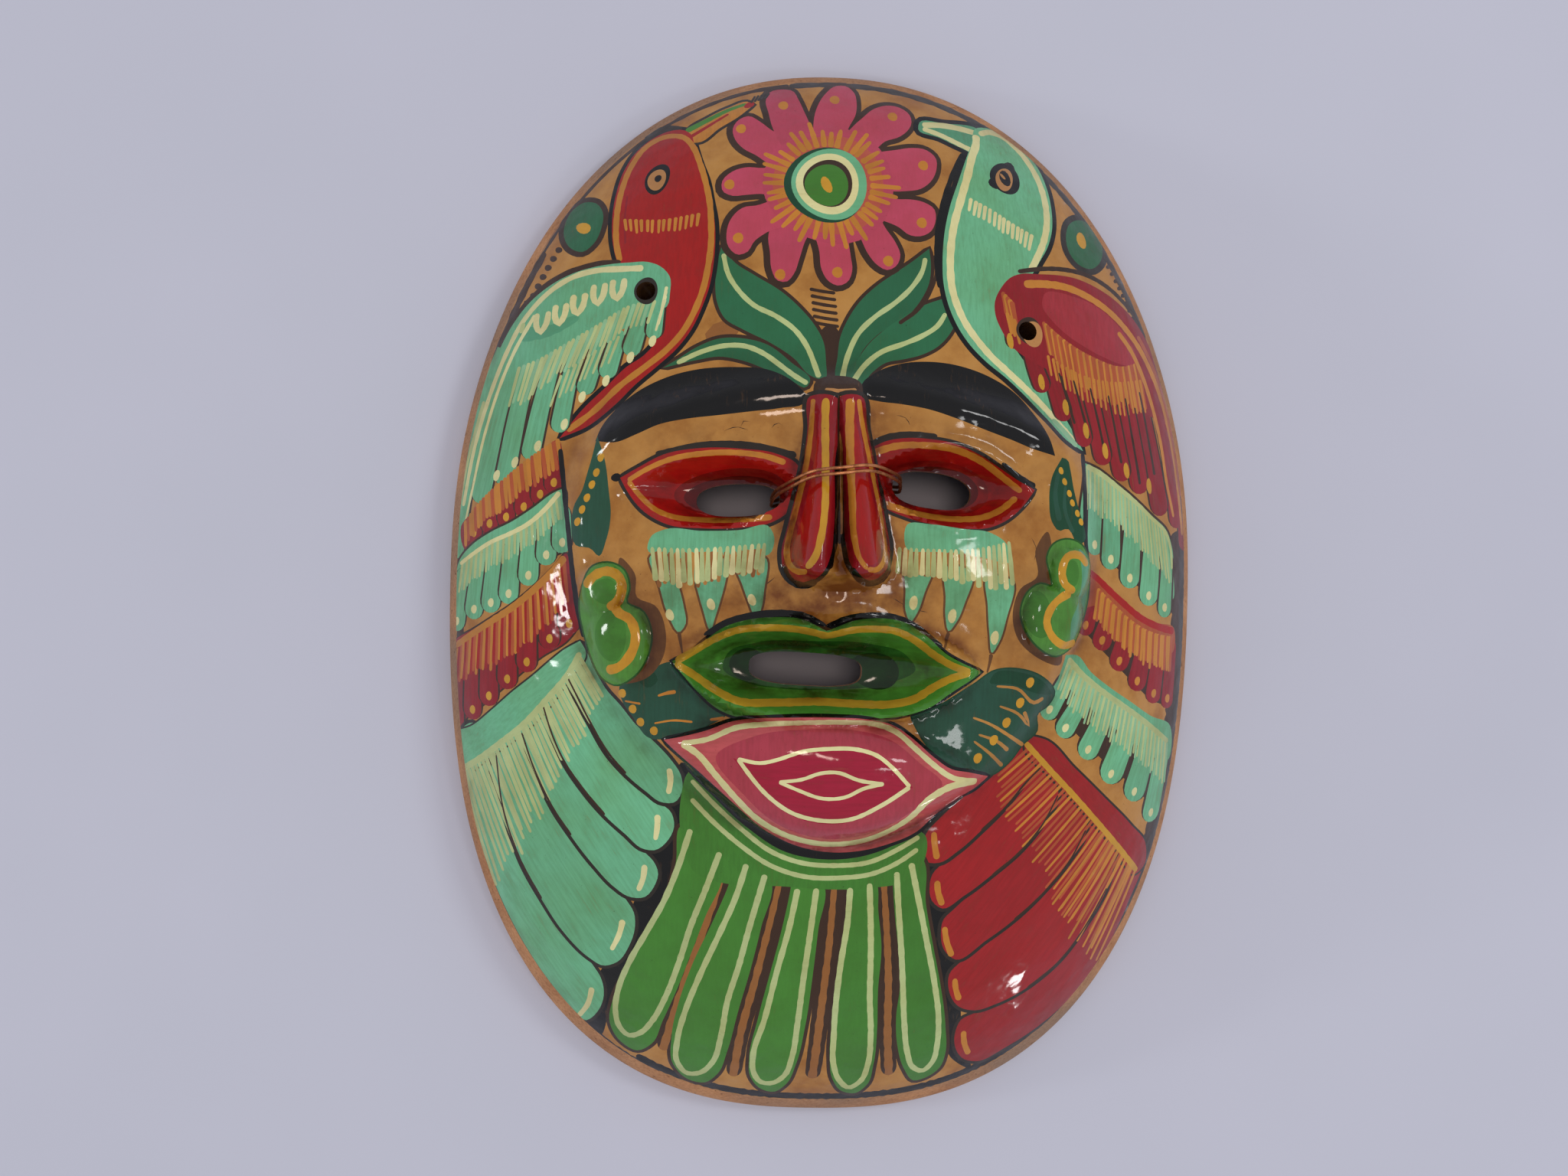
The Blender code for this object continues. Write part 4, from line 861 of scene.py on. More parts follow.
def paintBeard():
    lines("umber", 4.7, beard["gaps"], (1.05, 0.75), 0.02)
    for text in beard["fingers"]:
        lay(grown(outlineFrom(text), 0.8), "umber")
    lines("ochreShade", 1.25, beard["gaps"], (1.0, 1.5), 0.1)
    for text in beard["fingers"]:
        lay(outlineFrom(text), "grass")
    fill("black", "-31 -36, -24 -43, -17 -50, -9 -55.3, 1 -57, 10 -55.3, 18 -51, 22 -46, 20 -44, 10 -50, "
                  "-10 -50, -26 -37")
    fill("grass", beard["collar"])
    fill("black", "-30 -36.5, -24 -43.4, -17 -49.8, -9 -54.8, 0 -56.4, 9 -55.2, 15.6 -52.2, 22 -46.6, "
                  "18 -44, 4 -48, -10 -46, -24 -36")
    lines("comb", 1.05, beard["arcs"])
    lines("comb", 1.3, beard["loops"])


# the face: brows, eyes, nose, lips and chin
faceLines = dict(
    sideLines=("-59 30, -57.8 21, -56.5 12, -55.5 4, -54 -5, -52.6 -10.5", "54.3 31.5, 54.4 22, 54.6 12, "
                                                                           "55.6 6"),
    leftBrow="-51 31.3 *, -50 34, -46.8 38.3, -42 42.3, -36 45.2, -29 46.9, -21 47.3, -15 46.8, -10.5 44.8, "
             "-6.6 41.2 *, -7 39.8, -12 38.4, -18 37.6, -25 36.7, -32 35.8, -37.5 34.6, -42 32.6, "
             "-46.5 30.9",
    rightBrow="4.8 43.6, 8 46.6, 13 48.7, 20 49.5, 27 48.7, 33 46.8, 38.5 43.6, 42.6 39, 45.2 34.5, "
              "46.9 30.2 *, 42 31.4, 37 33.2, 31 35.2, 25 37.2, 19 38.9, 13 39.8, 8 40.3, 4.9 41.2",
    leftEye="-45.4 23.4 *, -42 25.4, -36 28.5, -29 29.7, -20 29.7, -12.5 28.7, -8.4 26.6, -7.6 22, "
            "-9.4 17.4, -13.5 14.4, -20 13.2, -28 12.9, -35 13.6, -40.5 16.6, -43.6 20.3",
    leftEyeLines=("-43.7 22.8, -40 25.1, -35 27.3, -28 28.6, -20 28.8, -15 28.2, -10.8 26.9",
                  "-43.6 22.7, -41 19.6, -37.5 16.6, -34 15.3, -28 14.8, -20 14.9, -13.4 15.5"),
    rightEye="6.2 29.6, 9.5 31.7, 14 32.7, 19.5 32.7, 25 31.8, 30 29.9, 35 27, 39.5 24.2, 42.4 22.8 *, "
             "40 19.6, 36.5 16.4, 32.5 14.5, 27 14, 20 14.7, 14 16.2, 9.6 18.2, 7.2 22.6",
    rightEyeLines=("7.2 29.3, 12 30.9, 18 31.3, 25 30.7, 31 28.4, 36 25, 39.6 22.3",
                   "9.2 18.9, 14 17.5, 20 16.5, 26 16.1, 31 16.6, 35 18.3, 38.6 21.2"),
    leftLobe="-6 40.9, -6.4 34, -7.2 27, -8.7 20, -10.4 13, -11.4 8, -10.7 4.2, -8.8 2.2, -6.5 1.9, -4 3.6, "
             "-2 7.5, -1.3 13, -1.2 25, -1.3 40.9",
    leftLobeRed="-3.7 40 *, -4.4 33, -5.4 26, -6.8 19, -8.3 12.5, -9.2 8, -8.7 5.8, -7.4 5.1, -6 6.2, "
                "-4.6 9.6, -3.5 15, -3 24, -3.1 33",
    rightLobe="0.5 41, 0.6 30, 0.8 18, 1.2 10, 2.6 4.9, 4.7 2.9, 7.3 3, 9.8 5.2, 10.9 8.8, 10 15, 8.7 21, "
              "7.2 28, 6 34, 4.8 41",
    rightLobeRed="2.3 40 *, 2.2 30, 2.6 19, 3.1 11, 4 7.2, 5.3 5.8, 6.9 6.1, 8.1 8, 8.5 10.2, 7.5 15.5, "
                 "6 22, 4.6 29, 3.5 35",
    lips="-33.6 -14.8 *, -30 -13.2, -27 -10.5, -23 -7.5, -18 -5.8, -12 -5.1, -7 -5.4, -4.3 -6.5, -2 -7.7 *, "
         "0.4 -6.8, 3.4 -5.6, 7 -5, 11 -5, 15 -5.9, 19 -8.6, 23 -12, 27 -14.1, 31.2 -15.8 *, 28 -17.6, "
         "24 -20.2, 20 -23, 15 -24.8, 8 -25.6, 0 -25.9, -8 -25.6, -15 -26, -20 -26, -24 -24.4, -28 -21, "
         "-31 -17.6",
    lipLines=("-32.8 -14.8, -29 -12.5, -25 -10, -20 -7.9, -14 -7.3, -8 -7.5, -4 -8.2, -2 -8.7, 0 -8.3, "
              "3 -7.5, 8 -7.1, 12 -7.4, 16 -9.1, 21 -12.5, 25 -14.7, 28.2 -15.7",
              "-32.8 -15, -29 -17.4, -24 -20.7, -20 -22.5, -12 -22.8, -3 -22.5, 5 -22.8, 12 -22.7, "
              "17 -21.5, 21 -19, 25 -16.9, 28.2 -15.8"),
    chin="-35 -31.4 *, -31 -30.4, -26 -28.9, -21 -27, -15 -26, -8 -25.5, 0 -25.4, 8 -25.9, 13 -27.3, "
         "17 -30, 21 -33.4, 25 -36, 29 -36.8, 33.8 -38.1 *, 31 -40.6, 27 -42.6, 23 -46, 19 -50, 13 -52.8, "
         "7 -54.4, 1 -54.8, -5 -53.9, -10 -52, -14 -49.6, -19 -45.1, -24 -40.6, -28 -37.1, -32 -34",
    chinInner="-20.5 -34.2 *, -15 -35.3, -11 -33.9, -7 -32.2, -1 -31.4, 5 -31.4, 9 -32.6, 12.4 -35, "
              "16.6 -39.6 *, 10 -43.9, 4 -47, -2 -47.5, -8 -46, -13 -42.5, -18 -37.2",
    chinLines=(
        (1.15, "-31.2 -31.8, -26 -30.7, -20 -28.1, -14 -27.2, -6 -26.6, 2 -26.4, 9 -26.9, 13 -28.3, "
               "17 -31.6, 21 -35, 25 -37.7, 31 -38.8"),
        (1.5, "-31.2 -31.8, -28 -33.6, -24 -38, -20 -42.5, -15 -47.4, -10 -50.4, -4 -52.2, 2 -52.6, "
              "8 -51.6, 13 -49.2, 17 -46, 20 -42.5, 25 -39.6, 31 -38.8"),
        (0.85, "-19.5 -34.3, -15 -35, -11 -34, -7 -32.5, -1 -31.7, 5 -31.8, 9 -33, 12 -35.3, 16 -39.5"),
        (0.95, "-19.5 -34.3, -17.5 -37, -13 -42, -8 -45.4, -2 -46.8, 4 -46.4, 10 -43.5, 16 -39.5"),
        (0.8, "-11 -38.8, -6 -38, -3 -36.8, 1 -36.5, 5 -38, 10.5 -38.9"),
        (0.8, "-11 -38.8, -7 -40.4, -2 -42, 3 -41.5, 6 -39.9, 10.5 -38.8"),
    ),
)


def paintBrowsAndEyes():
    lines("black", 1.15, faceLines["sideLines"])
    fill("black", faceLines["leftBrow"])
    fill("black", faceLines["rightBrow"])
    lay(grown(outlineFrom(faceLines["leftEye"]), 0.75), "softBlack")
    line("softBlack", 1.5, "-38 28.6, -28 30.6, -18 30.5, -8.6 28.4", (0.6, 1.0))
    dot("black", -46.3, 23.5, 1.1, 0.9, 10.0)
    fill("red", faceLines["leftEye"], grain=0.0)
    lines("orange", 1.3, faceLines["leftEyeLines"], (0.8, 1.0))
    # painted shade: a darker and a darkest red oval round the eye hole, where the socket falls away into it
    dot("redDeep", -22.0, 20.6, 12.0, 5.1, 3.0)
    dot("redDark", -21.6, 20.1, 10.3, 4.1, 3.0)
    lay(grown(outlineFrom(faceLines["rightEye"]), 0.7), "softBlack")
    line("black", 1.5, "35 28.2, 39 25.3, 42.6 23.4", (0.6, 1.0))
    line("softBlack", 1.4, "6.6 30.9, 10 32.7, 15 33.6, 21 33.4", (1.0, 0.7))
    fill("red", faceLines["rightEye"], grain=0.0)
    lines("orange", 1.5, faceLines["rightEyeLines"], (1.0, 0.8))
    # painted shade: a darker and a darkest red oval round the right eye hole
    dot("redDeep", 21.7, 23.0, 11.3, 5.4, -8.0)
    dot("redDark", 21.2, 22.8, 9.6, 4.5, -6.0)


def paintNose():
    fill("umber", "-5.2 43.4, 4.9 43.4, 5 41.6, -5.3 41.6")
    line("skin", 0.8, "-3 42.2, 0 42, 3.6 42.3")
    for name in ("leftLobe", "rightLobe"):
        lay(grown(outlineFrom(faceLines[name]), 0.9), "softBlack")
    line("black", 2.0, "-0.6 41, -0.7 25, -1.2 12, -3 4.8", (0.7, 1.3))
    line("ochre", 0.6, "0.35 41, 0.3 26, 0.35 12")
    for name in ("leftLobe", "rightLobe"):
        fill("crimson", faceLines[name])
        fill("red", faceLines[name + "Red"])
    line("orange", 0.9, "-5.3 40.4, -5.8 33, -6.6 27, -8 20, -9.6 13, -10.4 8.4, -9.9 5.6, -8.4 4.2, "
                        "-6.6 4.3", (1.0, 1.3))
    line("yellow", 1.75, "-2.8 40.4, -3 33, -3.1 25, -3.3 17, -4.1 11, -5.3 7, -6.8 4.9", (0.9, 0.8))
    line("orange", 1.5, "2.3 40.4, 2 30, 2.3 19, 2.7 11, 3.8 6.8, 5.3 4.9", (1.3, 0.6))
    line("orange", 0.9, "4.1 40.4, 5 34, 6.1 28, 7.6 21, 8.9 15, 9.6 9.6, 8.9 6.6, 7.2 4.8, "
                        "5.3 5", (1.2, 1.2))
    line("umber", 0.5, "-0.1 41, -0.2 26, 0 10")
    line("black", 1.6, "-11 5.4, -9.6 2.5, -7 1.4, -4.4 2.4", (0.7, 1.0))
    line("black", 1.4, "2.2 5.2, 4 3, 6.4 2.1, 9 2.9, 10.9 5.4", (0.7, 1.0))


# a green double ear with a yellow line like a 3, on a brown shade
def paintEars():
    fill("shade", "-44.4 6.4, -41.6 3, -41.2 -1.6, -37.2 -3.4, -35 -8.5, -35.6 -14.5, -38.6 -18.4, "
                  "-44 -19.8, -44 -8")
    fill("grassPale", "-52.6 1.2, -51 4.4, -47.3 5.4, -44.1 3.9, -42.9 0.4, -43.4 -2.8, -40 -4.6, -38.1 -9, "
                      "-38.9 -14.2, -41.8 -18.4, -45.6 -20.2, -48.4 -18.8, -50.8 -14.5, -52.8 -8.6, "
                      "-53.6 -3", 0.4, "grassDeep")
    dot("grass", -48.0, -0.6, 2.9, 2.7)
    dot("grass", -46.6, -9.8, 3.4, 5.4)
    line("yellow", 2.0, "-52.3 0.2, -50.4 2.6, -47.3 3.7, -44.9 2.4, -44.4 -0.4, -45.3 -2.8, -47.4 -4.1")
    line("yellow", 2.0, "-45.9 -3.4, -45.2 -4.8, -42.6 -6.2, -41.2 -10, -42.4 -14, -44.9 -16.5, -47.4 -17.2")
    fill("shade", "45.2 14, 42.6 10, 43 4.4, 39.2 1.8, 37.6 -3.4, 39 -8.8, 43 -12.4, 49 -14.4, 48 -4, 47 6")
    fill("grassPale", "45.4 8.6, 46.8 11.3, 50 12.5, 53.2 11.6, 55.2 9, 55.9 4, 55.4 -1.6, 53.6 -6.8, "
                      "51.2 -10.8, 48 -12.3, 44 -10.7, 40.9 -7.4, 39.5 -3, 40.9 1, 44 2.9, 46.6 2.4, "
                      "46.2 5", 0.4, "grassDeep")
    dot("grass", 43.0, -3.6, 3.1, 5.0, 10.0)
    fill("mintDeep", "53 10.6, 55 8.6, 55.5 4, 55.1 -1.4, 53.4 -6.4, 51.4 -9.6, 50.8 -5, 52.8 -0.6, 53.2 4")
    dot("grass", 50.6, 5.2, 1.8, 2.9)
    line("yellow", 1.7, "54.6 7, 52.6 9.2, 50 9, 48.5 6.4, 49 3.2, 51.6 1.3")
    line("yellow", 1.7, "50.8 1.2, 49.0 0.4, 46.4 -1.6, 45 -5, 46.6 -8.4, 49.6 -10.1, 52.6 -9.4")


# a fringe under each eye, with three drips
def paintFringes():
    fill("mint", "-39.2 8.6, -38.4 11.2, -35.6 12.6, -28 12.4, -20 12.7, -14 13.5, -12.9 11.4, -13.4 8.4, "
                 "-22 7.6, -32 6.6")
    for text in ("-38.5 7, -36.4 0.5, -34.6 -5, -32 -8.7, -31 -7.4, -31.4 -3, -32.6 1.4, -33.8 6.5",
                 "-30.4 6, -28.8 1, -27.4 -3.6, -25.6 -8.2, -24.8 -5.6, -23.6 -1.4, -22.8 2, -22.4 6",
                 "-21.2 6.6, -19.4 1.6, -18 -2, -16.2 -5.6, -15.3 -3.4, -14.8 0.4, -14.6 7"):
        fill("mint", text, 0.45, "shade")
    strokesFrom(("ochreShade", "ochre"), "-38 8, -30 8, -22 8.4, "
                                         "-14.6 9", 16, (7.0, 7.2, 5.6, 5.4), (-84, -90, -96), 1.3)
    strokesFrom(("comb", "cream", "comb"), "-38.8 8.9, -30 8.8, -22 9.4, "
                                           "-14.2 10.2", 19, (7.8, 8.0, 6.2, 5.8), (-82, -89, -97),
                1.1, (0.7, 1.1))
    dots("cream", "-34.2 -5.2, -25.7 -2.8, -17.3 -1.7", 0.85, 1.25, 20.0)
    fill("mint", "14.6 14.6, 20 14.7, 27 13.9, 32.4 13.4, 35.8 11.4, 37.2 7.6, 30 8.2, 22 9, 14.4 9.8")
    for text in ("14.6 7, 14.4 0.6, 14.5 -3.4, 15.6 -5.6, 17 -3.6, 18.4 0.4, 20.2 7",
                 "22.8 6, 22.9 -0.4, 23 -4.6, 23.8 -7.4, 25.4 -5.4, 27 -1.4, 28.4 5",
                 "31.6 4, 32 -2, 32.6 -7.6, 33.4 -11.8, 34.8 -9.6, 36.3 -4.4, 37.3 3.4"):
        fill("mint", text, 0.45, "shade")
    strokesFrom(("ochreShade", "ochre"), "13 9, 20 9, 28 9.2", 12, (4.8, 5.0, 5.6), (-92, -90, -88), 1.2)
    strokesFrom(("comb", "cream", "comb"), "12.6 9.9, 20 9.7, 28 9.9, 33 10.8, "
                                           "37.2 11.9", 21, (5.6, 5.8, 7.6, 10.0),
                (-94, -90, -88, -85), 1.1, (0.7, 1.1))
    dots("cream", "16.1 -1.6, 24.4 -4.2, 33.8 -8.6", 0.9, 1.5, -8.0)
    lines("shade", 0.9, ("-32.2 -8.8, -31.8 -11, -31.4 -13.2", "33.2 -12, 32.9 -14, 32.4 -16",
                         "23.8 -7.6, 23.2 -9.4, 22.2 -11.4"), (1.0, 0.4))


# fine cracks in the lacquer, in brown hairlines
def paintCracks():
    lines("umber", 0.22, (
        "-24 33.4, -21 34.3, -18.6 33.6", "-20.4 34.2, -19.6 35.6, -18.2 35.4", "-14 34, -12.6 35.4, "
                                                                                "-11.4 34.6",
        "10.2 17, 11.2 13.6, 10.6 10.8, 12 8.4", "41.6 12.8, 42.8 10.2, 42.2 7.6", "12 37.6, 14.4 36.8, "
                                                                                   "15.2 35.2",
        "-12.4 3.2, -14.8 1.4, -17.6 0.6", "11.6 -0.6, 15.2 -2.6, 19.4 -3.6", "27.6 35.4, 28.4 33.6",
    ), (0.6, 0.6), 0.3)


# a teal leaf with orange strokes on each cheek, and sideburn leaves with a row of dots
def paintCheeks():
    fill("teal", "-44.6 -20.6, -41 -18.6, -37.6 -16.4, -33 -15, -30.4 -17.4, -27.2 -22, -22 -25.6, "
                 "-26 -28.2, -31 -30.2, -38.6 -31, -41.6 -27, -44 -23.6")
    fill("leafDeep", "-41 -18.4, -38 -16.8, -36.4 -18.8, -38.4 -20.6")
    line("orange", 0.9, "-36.4 -22.2, -34 -21.4, -32.6 -21.2", (0.5, 1.0))
    lines("orange", 0.6, ("-37 -28, -33 -27.2, -29 -27.4", "-43.4 -23.6, -40 -24"), (0.6, 0.8))
    line("orange", 0.8, "-25.4 -26.8, -22.4 -26.4", (0.6, 1.0))
    dots("yellow", "-44 -22, -41.7 -25.2, -40 -27.9, -37.1 -29.6", 0.85, 0.95)
    fill("teal", "29.4 -18.6, 34 -15.6, 40 -15.3, 45 -17, 48.4 -20.6, 47 -23, 44.4 -24.8, 44.6 -28.4, "
                 "41.4 -31.4, 38.6 -35, 34.6 -37.8, 29 -36.6, 24.4 -34.6, 20.6 -32, 17.4 -27.2, 16.2 -24.6, "
                 "21 -23.2, 26 -20.4", 0.3, "leafDeep")
    fill("leafDeep", "34 -16.2, 40 -15.9, 45 -17.7, 47.6 -20.6, 44 -20.4, 38 -18.4, 33 -17.8")
    lines("ochre", 0.9, (
        "34.6 -18.8, 39.5 -19.4, 43.4 -22.4, 45.6 -21.4", "35.4 -23, 39.6 -24.6, 42.6 -27.4, 41 -24.2",
        "29.6 -25.4, 33 -26.6, 38 -29.4, 41.6 -31.6", "31 -29, 35.4 -30.6, 38 -32.6", "30 -30.4, 33.6 -33, "
                                                                                      "37 -36",
    ), (0.5, 1.0))
    dots("yellow", "42.1 -18, 40 -22.3, 37.1 -26.5, 34.4 -30.2, 31 -34", 0.9, 1.15, -25.0)
    fill("teal", "-50.6 32.4 *, -49 28, -47.8 21, -47.2 15.4, -48 10.4, -49.6 6.8, -51.4 8.4, -54.6 9, "
                 "-55.8 14, -55.4 17.4, -53.6 20.8, -52.6 24.4, -51.6 28")
    dots("yellow", "-49.7 27.8, -50.6 24.6, -51.5 22, -52.5 19.2, -53.5 16.7, -54.5 14.1", 0.7, 0.95, -20.0)
    fill("leafDeep", "48.6 30 *, 46.6 26.2, 45.8 20.6, 46.5 16, 48 14.3, 50 14.8, 52.4 11 *, 54.3 12.4, "
                     "53.5 17, 52.6 19.6, 51.6 23.2, 50.7 27.6, 50 29.6")
    line("teal", 1.3, "48 27, 47.2 22, 48.2 16.4", (0.6, 1.0))
    line("teal", 1.0, "49.6 24, 49.4 19, 51.4 14", (0.6, 1.0))
    dots("yellow", "48.5 27.2, 49.4 24.9, 50.5 22.4, 51.2 20.4, 52.4 18.2, 53.3 16.4", 0.55, 0.8, 20.0)


def paintMouthAndChin():
    lay(grown(outlineFrom(faceLines["lips"]), 0.6), "black")
    line("black", 1.3, "-27 -9.2, -23 -6.5, -17.5 -4.8, -11 -4.2, -6 -4.9, -2 -7.2", (0.6, 1.2))
    line("black", 1.3, "-2 -7.2, 2 -5.2, 7 -4.3, 12 -4.5, 17 -6.5, 22 -10.6", (1.0, 0.7))
    fill("grass", faceLines["lips"], grain=0.0)
    # painted shade in the lip recess: a deep green patch round the slot and two darker spots at its ends
    fill("grassDeep", "-22 -13, -16 -10.6, -5 -10, 8 -10.4, 15 -12.4, 17.4 -15.4, 12 -18.6, 2 -20, "
                      "-10 -20.2, -18 -19, -23 -16")
    dot("grassDark", 8.6, -16.0, 5.4, 3.8, -10.0)
    dot("grassDark", -18.0, -15.2, 3.6, 3.4)
    lines("lipYellow", 1.45, faceLines["lipLines"])
    lay(grown(outlineFrom(faceLines["chin"]), 0.7), "black")
    fill("chinPink", faceLines["chin"], grain=0.0)
    fill("chinDeep", "-24 -34, -16 -29.5, -6 -28, 4 -28, 12 -30, 18 -34.6, 23 -39, 17 -44.6, 8 -50, -2 -51, "
                     "-10 -48.6, -18 -42")
    fill("chinRed", faceLines["chinInner"], grain=0.0)
    for width, text in faceLines["chinLines"]:
        line("cream", width, text, (0.9, 1.0))


for paintFigure in (paintGround, paintLeaves, paintFlower, paintSideOvals, paintRightBird, paintLeftBird,
                    paintSideBands, paintFans, paintBeard, paintBrowsAndEyes, paintCheeks, paintCracks,
                    paintFringes, paintEars, paintNose, paintMouthAndChin):
    paintFigure()
print("strokes laid down:", len(painted))

# kinds of triangle that no stroke owns
rimKind, eyeKind, slotKind, cordKind, hollowKind = (len(painted) + k for k in (10, 11, 12, 13, 14))


# width of bare clay beside the rim, broader under the chin
def bareBand(y):
    return clay["rawBand"] + clay["rawBandLow"] * smoothRamp(*clay["rawBandFade"], y)


# the paint has to stop inside the bare rim: points past it slide back to it
def keepInside(outline):
    band = bareBand(outline[:, 1])
    past = maskRing(outline[:, 0], outline[:, 1], band) > 1.0
    outline = outline.copy()
    if past.any():
        outline[past] = toOutline(outline[past], band[past])
    return outline


# outlines of the eye holes, mouth slot and cord holes: superellipses |u/a|^n + |v/b|^n = 1
def holeOutlines():
    angle = np.linspace(0.0, 2.0 * math.pi, 120, endpoint=False)
    ovals = [(eye["hole"], eye["holeHalf"], eye["turn"], face["eyeFullness"])
             for eye in (face["leftEye"], face["rightEye"])]
    ovals.append((face["slot"], face["slotHalf"], face["slotTurn"], face["slotFullness"]))
    rings = []
    for centre, half, turn, fullness in ovals:
        u = half[0] * np.sign(np.cos(angle)) * np.abs(np.cos(angle)) ** (2.0 / fullness)
        v = half[1] * np.sign(np.sin(angle)) * np.abs(np.sin(angle)) ** (2.0 / fullness)
        c, s = math.cos(math.radians(turn)), math.sin(math.radians(turn))
        rings.append(np.column_stack([centre[0] + u * c - v * s, centre[1] + u * s + v * c]))
    small = face["cordHoleRadius"] * np.column_stack([np.cos(angle[::3]), np.sin(angle[::3])])
    rings += [np.array(centre) + small for centre in face["cordHoles"]]
    return [keepApart(ring) for ring in rings]


# drops points that sit on their neighbour
def keepApart(outline, least=0.06):
    gap = np.hypot(*(outline - np.roll(outline, 1, axis=0)).T)
    return outline[gap > least]


# the outline of the mask, evenly stepped
def maskOutline(inset=0.0):
    angle = np.linspace(0.0, 2.0 * math.pi, 4000, endpoint=False)
    ring = onRim(angle, inset)
    step = np.hypot(*(np.roll(ring, -1, axis=0) - ring).T)
    along = np.concatenate([[0.0], np.cumsum(step)])
    at = np.linspace(0.0, along[-1], net["outlinePoints"], endpoint=False)
    ring = np.vstack([ring, ring[:1]])
    return np.column_stack([np.interp(at, along, ring[:, 0]), np.interp(at, along, ring[:, 1])])


# points on a staggered grid inside the mask
def gridPoints(cell, inset):
    columns = np.arange(-clay["halfWidth"], clay["halfWidth"], cell)
    rows = np.arange(-clay["halfLength"], clay["halfLength"], cell * 0.866)
    x, y = np.meshgrid(columns, rows)
    x = x + (np.arange(len(rows)) % 2)[:, None] * cell / 2
    x, y = x.ravel(), y.ravel()
    inside = maskRing(x, y, inset) < 1.0
    return np.column_stack([x[inside], y[inside]])


# makes an outline run counter-clockwise from its most convex outermost point, where left is surely inside
def startOutermost(outline):
    outline = counterClockwise(keepApart(outline))
    ways = np.array([(math.cos(a), math.sin(a)) for a in np.linspace(0.0, 2.0 * math.pi, 12, endpoint=False)])
    outermost = np.unique(np.argmax(outline @ ways.T, axis=0))
    before = outline[outermost] - outline[outermost - 1]
    after = outline[(outermost + 1) % len(outline)] - outline[outermost]
    bend = before[:, 0] * after[:, 1] - before[:, 1] * after[:, 0]
    bend = bend / (np.hypot(*before.T) * np.hypot(*after.T))
    return np.roll(outline, -outermost[np.argmax(bend)], axis=0)


# Delaunay triangles through outlines and loose points; each takes the highest-numbered outline round it
def triangulate(outlines, loose, nearness):
    starts = np.cumsum([0] + [len(outline) for outline in outlines])
    rounds = [list(range(a, b)) for a, b in zip(starts, starts[1:])]
    points = [Vector(p) for p in np.vstack([*outlines, loose]).tolist()]
    flat, _, triangles, _, _, held = delaunay_2d_cdt(points, [], rounds, 0, nearness)
    highest = np.array([max(holders, default=-1) for holders in held])
    return np.array([tuple(p) for p in flat]), np.array(triangles), highest


# one whole number for each square of a grid of the given step
def squareOf(p, step):
    return np.floor(p[:, 0] / step).astype(np.int64) * 100000 + np.floor(p[:, 1] / step).astype(np.int64)


# closed loops along the edges that only one triangle has, each in that triangle's direction
def openEdges(triangles):
    edges = np.vstack([triangles[:, [0, 1]], triangles[:, [1, 2]], triangles[:, [2, 0]]])
    size = edges.max() + 1
    single = edges[~np.isin(edges[:, 0] * size + edges[:, 1], edges[:, 1] * size + edges[:, 0])]
    following = dict(single.tolist())
    loops = []
    while following:
        first, at = following.popitem()
        loop = [first]
        while at != first:
            loop.append(at)
            at = following.pop(at)
        loops.append(loop)
    return sorted(loops, key=len, reverse=True)


# the painted front: a net whose edges follow every stroke, lifted to the height of the clay
def makeFront():
    inside = [keepInside(outline) for outline, *_ in painted]
    # a stroke wholly past the paint's edge shrinks to a line on it: a fleck in the open slot stands in for it
    fleck = np.array(face["slot"]) + np.array([[0.0, 0.0], [0.3, 0.0], [0.0, 0.3]])
    inside = [shape if abs(areaOf(shape)) > 0.05 else fleck for shape in inside]
    outlines = [startOutermost(outline) for outline in [maskOutline()] + inside + holeOutlines()]
    coarse, fine = gridPoints(net["cell"], net["inset"]), gridPoints(net["faceCell"], net["inset"])
    farOut, nearIn = (ovalRing(p[:, 0], p[:, 1] - net["ovalMiddle"], net["ovalHalf"], net["ovalFullness"])
                      for p in (coarse, fine))
    rings = [maskOutline(inset) for inset in net["rings"]]
    loose = np.vstack([coarse[farOut >= 1.0], fine[nearIn < 1.0]] + rings)
    # a loose point goes where a stroke's corner lies in the same small square
    crowded = np.isin(squareOf(loose, net["square"]), squareOf(np.vstack(outlines), net["square"]))
    flat, triangles, highest = triangulate(outlines, loose[~crowded], 1e-5)
    kept = (highest >= 0) & (highest <= len(painted))
    triangles, highest = triangles[kept], highest[kept]
    used, triangles = np.unique(triangles, return_inverse=True)
    flat, triangles = flat[used], triangles.reshape(-1, 3)
    x, y = flat.T
    # the dome meets the rim's side in a soft edge: drop*(1 - d/reach)^2 lower at a distance d from it
    distance = (1.0 - maskRing(x, y)) * np.hypot(x, y)
    soft = clay["edgeDrop"] * np.clip(1.0 - distance / clay["edgeReach"], 0.0, 1.0) ** 2
    return np.column_stack([x, y, frontHeight(x, y) - soft]), triangles, highest


# one whole number for a flat point, the same for two points that agree to half a thousandth of a millimetre
def spotOf(p):
    return np.round(p[:, 0] * 2000).astype(np.int64) * 10_000_000 + np.round(p[:, 1] * 2000).astype(np.int64)


